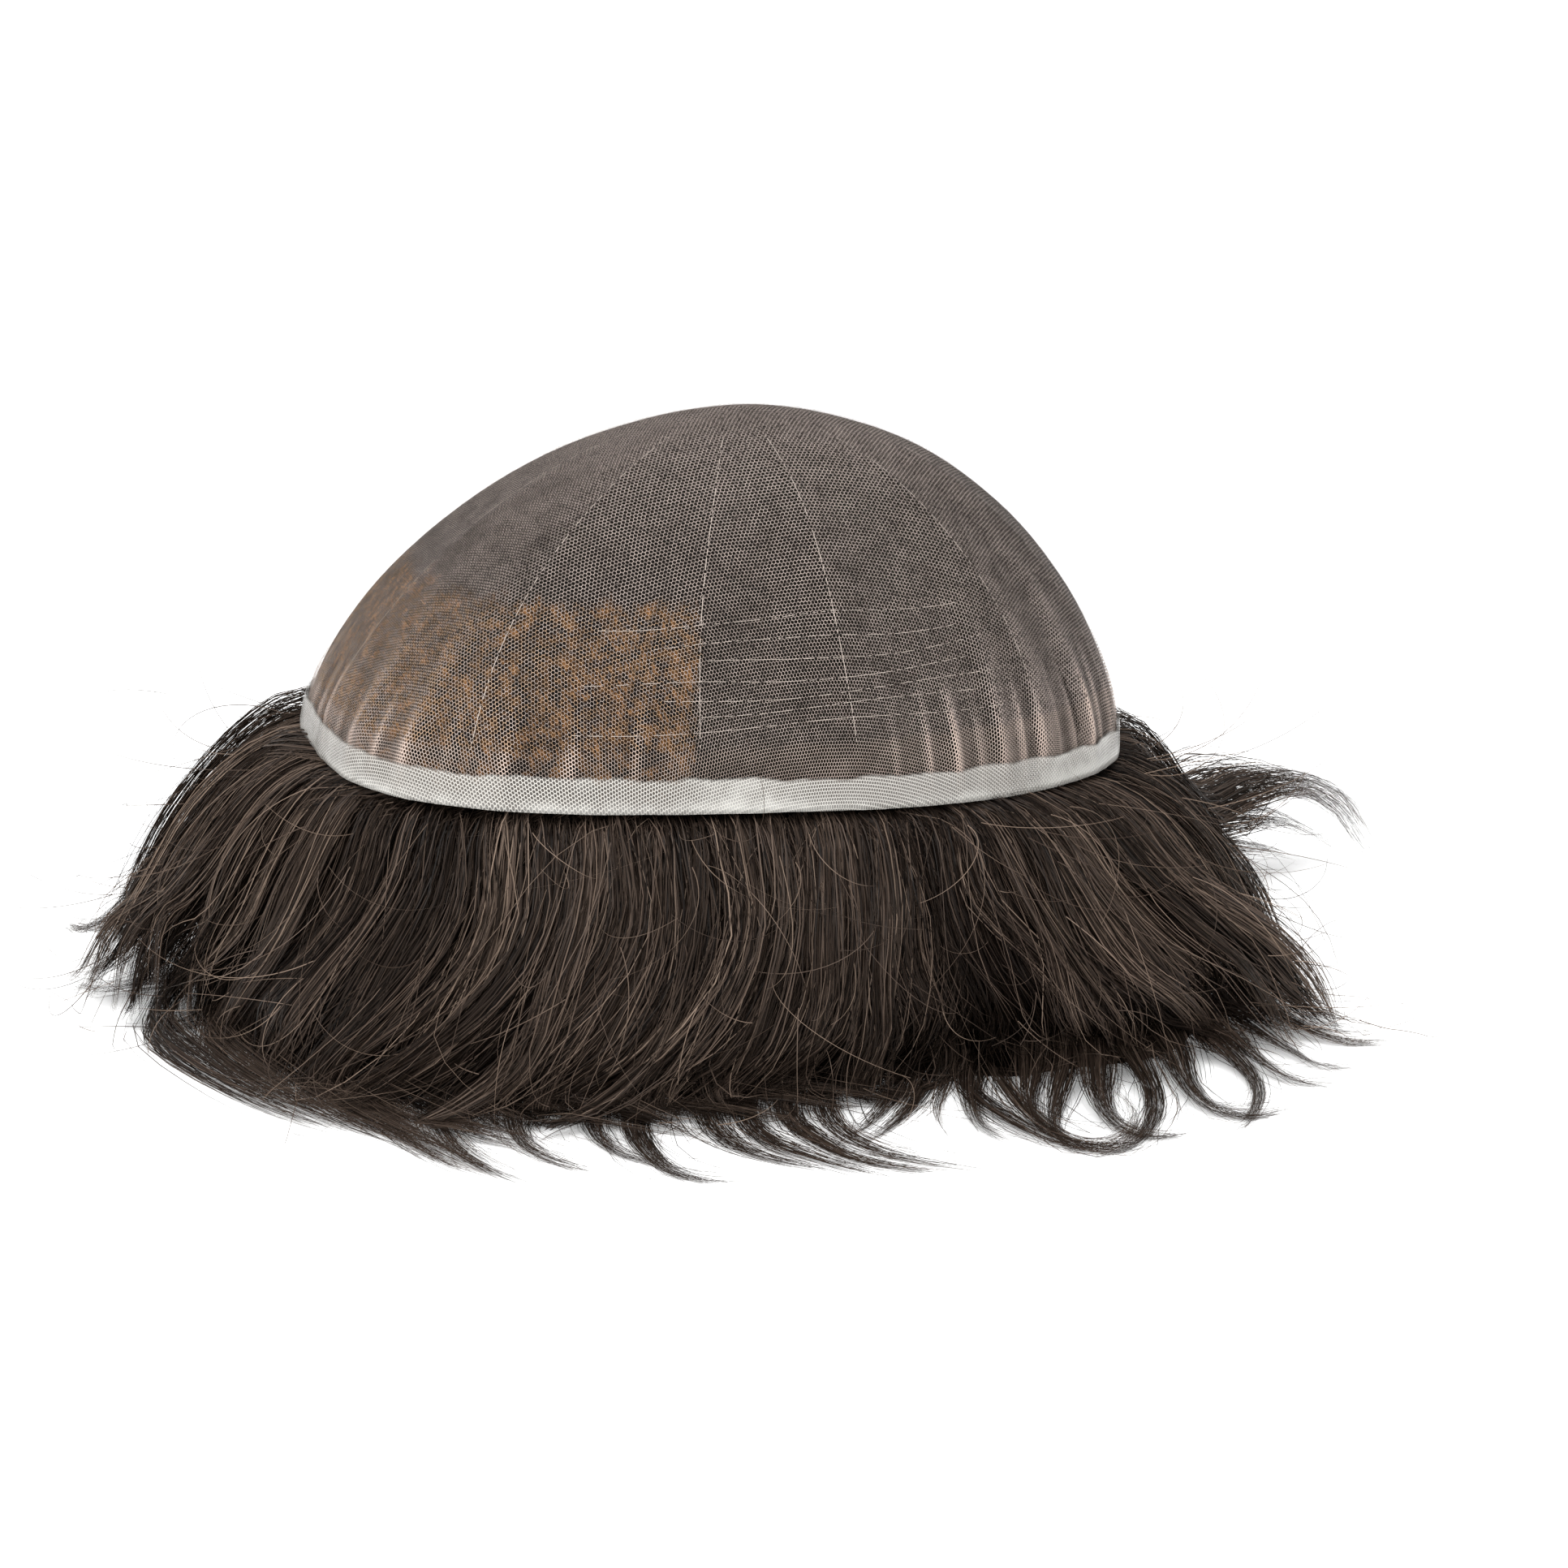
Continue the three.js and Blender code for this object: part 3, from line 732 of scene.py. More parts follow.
@dataclass
class HeadForm:
    """The dome that the net was shaped on.

    Angles are in degrees round the crown, and shares run down from it.
    """

    front: float = 100 * MM
    back: float = 85.5 * MM
    half_width: float = 64.5 * MM
    front_square: float = 3.2
    back_square: float = 2.02
    front_full: float = 1.62
    back_full: float = 1.94
    crown: float = 140 * MM
    crown_shift: float = -4.5 * MM
    rim: float = 63 * MM
    slope: float = 0.05
    gather_height: float = 1.5 * MM
    pleat_height: float = 0.45 * MM
    pleat_half: float = 0.75
    seam_height: float = 0.35 * MM
    seam_half: float = 1.6
    sag_depth: float = 1.0 * MM
    strip: float = 8 * MM
    centre: np.ndarray = field(default_factory=lambda: np.zeros(3))
    gathers: tuple[Gather, ...] = (
        Gather(158, 0.6, 0.7), Gather(170, 0.75, 0.66), Gather(184, 0.8, 0.6), Gather(195, 1, 0.55),
        Gather(206, 0.95, 0.55), Gather(217, 0.8, 0.66), Gather(229, 0.6, 0.74), Gather(240, 0.55, 0.74),
        Gather(270, 0.35, 0.8), Gather(296, 0.6, 0.7), Gather(307, 0.8, 0.55), Gather(318, 0.85, 0.5),
        Gather(330, 0.95, 0.45), Gather(341, 0.85, 0.45), Gather(352, 0.8, 0.5), Gather(4, 0.75, 0.5),
        Gather(17, 0.8, 0.5), Gather(31, 0.75, 0.55), Gather(45, 0.65, 0.6), Gather(62, 0.45, 0.7),
        Gather(88, 0.4, 0.76), Gather(112, 0.55, 0.7), Gather(128, 0.75, 0.64), Gather(143, 0.65, 0.66),
    )
    pleats: tuple[float, ...] = (
        2, 9, 21, 29, 38, 52, 71, 97, 118, 135, 148, 156, 161, 166.5, 172, 177, 182.5, 188, 194, 199.5, 205,
        211, 218, 226, 235, 283, 290, 296, 301.5, 306, 311, 315.5, 320.5, 325, 330, 334.5, 339, 344, 349,
        354)
    seams: tuple[float, ...] = (4, 33, 64, 95, 124, 154, 184, 213.5, 244.5, 275, 315, 338)

    def settle(self, low: Vector, high: Vector) -> None:
        """Finds where the crown's axis stands, from the box of the solid that the net replaces.

        Args:
            low: The box's lowest corner.
            high: Its highest corner.
        """
        angles = np.arange(0.0, 360.0, 3.75)
        rim = self.point(angles, np.ones_like(angles), 0.0)
        middle = (rim.min(axis=0) + rim.max(axis=0)) / 2
        self.centre = np.array([(low.x + high.x) / 2 - middle[0], (low.y + high.y) / 2 - middle[1], 0.0])

    def rim_plan(self, angle: np.ndarray) -> np.ndarray:
        """Gives the rim's points in plan.

        Args:
            angle: Directions round the crown.

        Returns:
            The points, measured from the crown's axis.
        """
        c = np.cos(np.radians(angle))
        s = np.sin(np.radians(angle))
        length = np.where(c < 0, self.front, self.back)
        power = np.where(c < 0, self.front_square, self.back_square)
        reach = (np.abs(c / length) ** power + np.abs(s / self.half_width) ** power) ** (-1 / power)
        return np.stack([reach * c, reach * s, np.zeros_like(c)], axis=-1)

    def rim_normal(self, angle: np.ndarray) -> np.ndarray:
        """Gives the rim's outward directions in plan.

        Args:
            angle: Directions round the crown.

        Returns:
            Vectors of length 1.
        """
        along = self.rim_plan(angle + 0.5) - self.rim_plan(angle - 0.5)
        return unit(np.stack([along[..., 1], -along[..., 0], np.zeros_like(angle)], axis=-1))

    def rim_height(self, x: np.ndarray) -> np.ndarray:
        """Gives the height of the rim's plane over the table."""
        return self.rim - self.slope * x

    def bare(self, angle: np.ndarray, share: np.ndarray) -> np.ndarray:
        """Gives points of the dome without folds.

        Args:
            angle: Directions round the crown.
            share: Shares of the way down.

        Returns:
            The points, measured from the crown's axis.
        """
        rim = self.rim_plan(angle)
        front = (1 - np.cos(np.radians(angle))) / 2
        power = 2 / (self.front_full * front + self.back_full * (1 - front))
        out = np.sin(share * math.pi / 2) ** power
        up = np.maximum(np.cos(share * math.pi / 2), 0.0) ** power
        base = self.rim_height(rim[..., 0])
        x = self.crown_shift + (rim[..., 0] - self.crown_shift) * out
        return np.stack([x, rim[..., 1] * out, base + (self.crown - base) * up], axis=-1)

    def normal(self, angle: np.ndarray, share: np.ndarray) -> np.ndarray:
        """Gives the dome's outward directions.

        Args:
            angle: Directions round the crown.
            share: Shares of the way down.

        Returns:
            Vectors of length 1.
        """
        step = 0.004
        low = np.minimum(share + step, 1.0)
        around = self.bare(angle + 0.25, share) - self.bare(angle - 0.25, share)
        down = self.bare(angle, low) - self.bare(angle, low - 2 * step)
        return unit(np.cross(down, around))

    def gathering(self, angle: np.ndarray, share: np.ndarray) -> np.ndarray:
        """Gives how strongly the net is gathered in broad folds.

        Args:
            angle: Directions round the crown.
            share: Shares of the way down.

        Returns:
            Values from 0 to about 1.
        """
        total = np.zeros_like(angle)
        for fold in self.gathers:
            across = np.cos(np.minimum(turned(angle, fold.angle) / fold.spread, 1.0) * math.pi / 2) ** 2
            total = total + fold.height * across * smooth(share, fold.start, 1.0)
        return total

    def pleating(self, angle: np.ndarray, share: np.ndarray) -> np.ndarray:
        """Gives how strongly the net is pinched into narrow pleats above the strip.

        Args:
            angle: Directions round the crown.
            share: Shares of the way down.

        Returns:
            Values from 0 to about 1.
        """
        total = np.zeros_like(angle)
        for row, pleat in enumerate(self.pleats):
            start = 0.74 + 0.025 * math.sin(2.3 * row)
            size = 0.7 + 0.3 * math.sin(1.7 * row)
            across = np.exp(-((turned(angle, pleat + 1.5 * (1 - share)) / self.pleat_half) ** 2))
            total = total + size * across * smooth(share, start, start + 0.14)
        return total

    def relief(self, angle: np.ndarray, share: np.ndarray) -> np.ndarray:
        """Gives how far folds, seams and pleats move the net outwards, and how far it sags between seams.

        Args:
            angle: Directions round the crown.
            share: Shares of the way down.

        Returns:
            The distances in metres.
        """
        near = np.min([turned(angle, seam) for seam in self.seams], axis=0)
        crease = self.seam_height * np.exp(-((near / self.seam_half) ** 2))
        crease = crease * smooth(share, 0.18, 0.36) * (1 - smooth(share, 0.8, 0.9))
        sag = self.sag_depth * smooth(near, 2.0, 15.0)
        sag = sag * smooth(share, 0.22, 0.55) * (1 - smooth(share, 0.75, 1.0))
        bound = self.strip_top(angle)
        flat = 1 - 0.8 * smooth(share, bound - 0.02, bound + 0.05)
        folds = self.gather_height * self.gathering(angle, share)
        folds = folds + self.pleat_height * self.pleating(angle, share)
        return flat * folds + crease - sag

    def point(self, angle: np.ndarray, share: np.ndarray, depth: float) -> np.ndarray:
        """Gives points of the dome at a depth under its outer face, in the frame.

        Args:
            angle: Directions round the crown.
            share: Shares of the way down.
            depth: The depth in metres, negative outside.

        Returns:
            The points.
        """
        rise = self.relief(angle, share) - depth
        made = self.bare(angle, share) + self.normal(angle, share) * rise[..., None]
        at_rim = share > 1 - 1e-6
        made[..., 2] = np.where(at_rim, self.rim_height(made[..., 0]), made[..., 2])
        crown = share < 1e-6
        made[crown] = (self.crown_shift, 0.0, self.crown - depth)
        return made + self.centre

    def strip_top(self, angle: np.ndarray) -> np.ndarray:
        """Gives where the coated strip starts.

        Args:
            angle: Directions round the crown.

        Returns:
            The shares of the way down.
        """
        low = np.full_like(angle, 0.5)
        high = np.ones_like(angle)
        for _ in range(20):
            middle = (low + high) / 2
            point = self.bare(angle, middle)
            above = point[..., 2] - self.rim_height(point[..., 0]) > self.strip
            low = np.where(above, middle, low)
            high = np.where(above, high, middle)
        return high

    def flat(self, angle: np.ndarray, share: np.ndarray) -> np.ndarray:
        """Gives where points lay on the flat net before it was shaped, with its corner at the origin.

        Args:
            angle: Directions round the crown.
            share: Shares of the way down.

        Returns:
            Rows of u and v, in metres.
        """
        steps = np.linspace(0.0, 1.0, 33)
        way = self.bare(angle[:, None] + 0 * steps, share[:, None] * steps)
        length = np.linalg.norm(np.diff(way, axis=1), axis=-1).sum(axis=1)
        rim = self.rim_plan(angle)
        turn = np.arctan2(rim[:, 1], rim[:, 0] - self.crown_shift)
        reach = length * (0.82 + 0.75 * length)
        return np.stack([0.4 + reach * np.cos(turn), 0.4 + reach * np.sin(turn)], axis=-1)

    def bleaching(self, angle: np.ndarray, share: np.ndarray) -> np.ndarray:
        """Gives 1 where the knots were bleached, along the front of the hairline, and 0 elsewhere."""
        across = 1 - smooth(turned(angle, 180.0), 61.0, 67.0)
        return across * smooth(share, 0.5, 0.68)


@dataclass
class NetBase:
    """The net dome, its knots and its creases."""

    form: HeadForm
    columns: int = 390
    rows: int = 52
    wall: float = 0.25 * MM
    bare_edge: float = 0.86
    depth: float = 0.1 * MM
    thread_depth: float = -0.12 * MM
    seam_thread: float = 0.065 * MM
    fold_thread: float = 0.045 * MM
    seam_gaps: float = 0.3
    fold_gaps: float = 0.28
    fold_rows: tuple[float, ...] = (0.625, 0.665, 0.70, 0.735, 0.765, 0.79, 0.82)

    def build(self) -> bpy.types.Object:
        """Builds and dresses the net.

        Returns:
            The net.
        """
        piece = Bench.dome("net_base", self.columns, self.rows)
        angle, share = Bench.dome_places(piece)
        Bench.shape(piece, self.form.point(angle, share, self.depth))
        Bench.lay_out(piece, "net", self.form.flat(angle, share))
        # The gather value thickens the threads on folds and also paints a highlight on them.
        folded = 0.4 * self.form.gathering(angle, share) + self.form.pleating(angle, share)
        Bench.paint(piece, "gather", folded * (1 - smooth(share, 0.97, 1.0)))
        Bench.paint(piece, "knots", 1 - smooth(share, self.bare_edge - 0.03, self.bare_edge + 0.03))
        Bench.paint(piece, "crown", 1 - smooth(share, 0.2, 0.55))
        Bench.paint(piece, "bleach", self.form.bleaching(angle, share))
        Bench.thicken(piece, self.wall)
        return Bench.seat(piece, NetFinish().material(), "lace", "lace_base")

    def creases(self) -> bpy.types.Object:
        """Builds the pale broken threads down the net's seams and along its folds at the near side.

        Returns:
            All the threads as one piece.
        """
        rng = np.random.default_rng(SEED)
        lines: list[tuple[np.ndarray, np.ndarray, float, float]] = []
        for seam in self.form.seams:
            share = np.linspace(0.2, 0.86, 110)
            angle = seam + 0.5 * np.sin(share * 9 + seam)
            lines.append((angle, share, self.seam_thread, self.seam_gaps))
        for row, level in enumerate(self.fold_rows):
            angle = np.linspace(226 + 9 * (row % 3), 308 - 5 * (row % 2), 80)
            share = level + 0.006 * np.sin(np.radians(angle) * 5 + row)
            lines.append((angle, share, self.fold_thread, self.fold_gaps))
        quads: list[np.ndarray] = []
        for angle, share, half, gaps in lines:
            way = self.form.point(angle, share, self.thread_depth)
            across = half * unit(np.cross(np.gradient(way, axis=0), self.form.normal(angle, share)))
            low = way - across
            high = way + across
            for i in range(len(way) - 1):
                if rng.random() >= gaps:
                    quads.append(np.array([low[i], high[i], high[i + 1], low[i + 1]]))
        piece = Loom.cards("net_creases", np.array(quads))
        return Bench.seat(piece, ThreadFinish().material(), "lace")


@dataclass(frozen=True)
class MilkPatch:
    """A stretch of the coated strip that has dried milkier."""

    angle: float
    spread: float
    strength: float


@dataclass
class CoatedEdge:
    """The strip of coated lace round the rim, on the skin side."""

    form: HeadForm
    columns: int = 400
    rows: int = 7
    wall: float = 0.45 * MM
    clearance: float = 0.7 * MM
    hem: float = 0.4 * MM
    milk: float = 0.26
    patches: tuple[MilkPatch, ...] = (
        MilkPatch(252, 14, 0.55), MilkPatch(196, 10, 0.4), MilkPatch(330, 16, 1.1))

    def build(self) -> bpy.types.Object:
        """Builds and dresses the strip.

        Returns:
            The strip, a closed wall.
        """
        piece = Bench.tube("coated_edge", self.columns, self.rows)
        tube = Bench.points(piece)
        angle = np.degrees(np.arctan2(tube[:, 1], tube[:, 0])) % 360.0
        down = 0.5 - tube[:, 2]
        turn = np.radians(angle)
        wander = 0.35 * np.sin(5 * turn) + 0.3 * np.sin(13 * turn + 1) + 0.35 * np.sin(31 * turn + 2)
        top = self.form.strip_top(angle) + 0.008 - 0.006 * wander
        share = top + (1 - top) * down
        way = self.form.point(angle, share, -self.clearance)
        hem = down > 0.999
        way[hem, 2] -= self.hem * (1 + 0.25 * wander[hem])
        Bench.shape(piece, way)
        Bench.lay_out(piece, "net", self.form.flat(angle, share))
        Bench.paint(piece, "edge", down * 2.2)
        near = np.zeros_like(angle)
        for patch in self.patches:
            near += patch.strength * np.exp(-((turned(angle, patch.angle) / patch.spread) ** 2))
        Bench.paint(piece, "milk", self.milk + 0.35 * near + 0.3 * smooth(down, 0.4, 1.0))
        Bench.thicken(piece, self.wall)
        Bench.outward(piece)
        return Bench.seat(piece, CoatFinish().material(), "coating", "perimeter_band")


@dataclass
class RootLayer:
    """The layer of knotted hair right under the net."""

    form: HeadForm
    columns: int = 130
    rows: int = 32
    depth: float = 0.6 * MM
    wall: float = 3.9 * MM

    def build(self) -> bpy.types.Object:
        """Builds and dresses the layer.

        Returns:
            The layer, a closed wall.
        """
        piece = Bench.dome("root_layer", self.columns, self.rows)
        angle, share = Bench.dome_places(piece)
        Bench.shape(piece, self.form.point(angle, share, self.depth))
        Bench.lay_out(piece, "net", self.form.flat(angle, share))
        Bench.paint(piece, "bleach", self.form.bleaching(angle, share))
        Bench.thicken(piece, self.wall)
        return Bench.seat(piece, RootFinish().material(), "root_hair", "crown_hair")


class Loom:
    """Joined meshes of many narrow strips."""

    @staticmethod
    def cards(name: str, quads: np.ndarray) -> bpy.types.Object:
        """Makes one mesh of separate four-sided faces.

        Args:
            name: The object's name.
            quads: The corners, one row of four points for each face.

        Returns:
            The object.
        """
        corners = np.arange(len(quads) * 4, dtype=np.int32).reshape(-1, 4)
        return Loom.weave(name, quads.reshape(-1, 3), corners, None)

    @staticmethod
    def weave(name: str, points: np.ndarray, faces: np.ndarray,
              flat: np.ndarray | None) -> bpy.types.Object:
        """Makes one mesh from arrays of points and four-sided faces.

        Args:
            name: The object's name.
            points: Rows of x, y and z.
            faces: Rows of four point numbers.
            flat: The u and v of each point, if the mesh has a map.

        Returns:
            The object.
        """
        mesh = bpy.data.meshes.new(name)
        mesh.vertices.add(len(points))
        mesh.vertices.foreach_set("co", points.astype(np.float32).ravel())
        mesh.loops.add(faces.size)
        mesh.loops.foreach_set("vertex_index", faces.astype(np.int32).ravel())
        mesh.polygons.add(len(faces))
        mesh.polygons.foreach_set("loop_start", np.arange(0, faces.size, 4, dtype=np.int32))
        mesh.update(calc_edges=True)
        mesh.validate()
        piece = bpy.data.objects.new(name, mesh)
        bpy.context.scene.collection.objects.link(piece)
        if flat is not None:
            Bench.lay_out(piece, "strand", flat)
        return piece

    @staticmethod
    def ribbons(name: str, way: np.ndarray, across: np.ndarray, tone: np.ndarray) -> bpy.types.Object:
        """Makes one mesh of tapering ribbons.

        Args:
            name: The object's name.
            way: The middle of each ribbon, as strands by points by three.
            across: The vector from the middle to one edge at each of those points.
            tone: A value for each strand.

        Returns:
            The object, with the map "strand": the tone, and the way along.
        """
        strands, steps, _ = way.shape
        points = np.stack([way - across, way + across], axis=2).reshape(-1, 3)
        first = (np.arange(strands)[:, None] * steps + np.arange(steps - 1)[None, :]) * 2
        faces = np.stack([first, first + 1, first + 3, first + 2], axis=-1).reshape(-1, 4)
        along = np.broadcast_to(np.linspace(0, 1, steps)[None, :, None], (strands, steps, 2))
        shade = np.broadcast_to(tone[:, None, None], (strands, steps, 2))
        return Loom.weave(name, points, faces, np.stack([shade, along], axis=-1).reshape(-1, 2))


@dataclass(frozen=True)
class Lock:
    """One lock: where it grows, its lengths as shares of the hair's named sizes, and how light it is: its
    tone is a painted highlight on lit locks and painted shade on locks in dark gaps.
    """

    angle: float
    run: float
    sweep: float
    hook: float
    lift: float = 0.5
    bow: float = 0.56
    tone: float = 0.0


# Columns: angle, run, sweep, hook, lift, bow and tone; the tone is a painted highlight on lit locks and
# painted shade in dark gaps
LOCKS = (
    Lock(5, 1.0, 0.2, -0.5, 1.5, 0.66), Lock(13, 1.2, 0.3, -0.9, 2.0, 0.62),
    Lock(21, 1.2, 0.2, -1.0, 2.0, 0.62), Lock(28, 1.4, -0.2, 0.8, 1.0, 0.7),
    Lock(38, 0.9, -0.3, -0.7, 0.8, 0.62), Lock(48, 0.7, 0.9, -1.3, 0.6),
    Lock(58, 0.8, 1.3, -1.7), Lock(68, 0.5, 1.4, -1.5),
    Lock(77, 0.8, 1.2, -2.0), Lock(86, 0.5, 0.9, -1.2),
    Lock(95, 0.7, -0.9, 1.3), Lock(104, 0.5, -1.2, 0.9),
    Lock(113, 0.8, -1.1, 1.8), Lock(122, 0.6, 0.7, -1.1),
    Lock(131, 0.9, -0.4, 1.1, 1.5), Lock(140, 0.8, 0.3, 0.5, 1.5, 0.72),
    Lock(148, 0.9, 0.2, -0.4, 2.0, 0.76, 0.15), Lock(158, 1.0, -0.2, -0.3, 2.4, 0.78, 0.2),
    Lock(168, 0.9, -0.6, 0.2, 2.2, 0.78, 0.2), Lock(178, 0.6, -1.0, 0.4, 1.6, 0.76, 0.16),
    Lock(188, 0.5, -1.4, 0.4, 1.0, 0.7, 0.14), Lock(197, 0.3, -1.7, 0.4, 0.6, 0.65, 0.1),
    Lock(205, 0.3, -1.8, 0.9, 0.7, 0.6, -0.1), Lock(213, 0.3, -1.8, 1.2, 0.5, 0.6, 0.0),
    Lock(221, 0.6, -1.8, 1.2, tone=0.08), Lock(229, 0.9, -1.7, 1.1, tone=0.04),
    Lock(237, 0.6, -1.6, 1.3, tone=-0.06), Lock(245, 0.9, -1.5, 1.4, 0.7),
    Lock(253, 0.7, -1.5, 1.2, tone=0.06), Lock(261, 0.9, -1.3, 1.5, tone=-0.05),
    Lock(269, 0.6, -1.0, 1.3), Lock(277, 0.5, -0.7, 1.0, tone=-0.05),
    Lock(285, 0.2, 0.1, -1.0, tone=-0.18), Lock(293, 0.2, 0.6, 0.5, tone=-0.12),
    Lock(301, 0.3, 1.1, 0.4, 1.0), Lock(309, 0.6, 1.5, 0.3, 1.2, 0.6, 0.08),
    Lock(317, 0.9, 1.6, 0.4, 1.5, 0.65), Lock(326, 1.0, 1.3, 0.6, 1.0, 0.7),
    Lock(335, 0.8, 0.6, 0.0, 1.0, 0.7), Lock(345, 0.7, 0.4, 0.0, 0.8, 0.7),
    Lock(356, 0.9, 0.4, -0.5, 1.0, 0.7),
)


@dataclass(frozen=True)
class Wisp:
    """A lock with a way of its own, as the photograph shows it.

    It grows at an angle round the rim. After that its way runs through spots of the photograph: how many
    pixels each lies across and down in it, and its height over the table in millimetres.
    """

    angle: float
    across: tuple[float, ...]
    down: tuple[float, ...]
    height: tuple[float, ...]
    wide: float = 7.0
    strands: int = 130
    blunt: float = 0.1


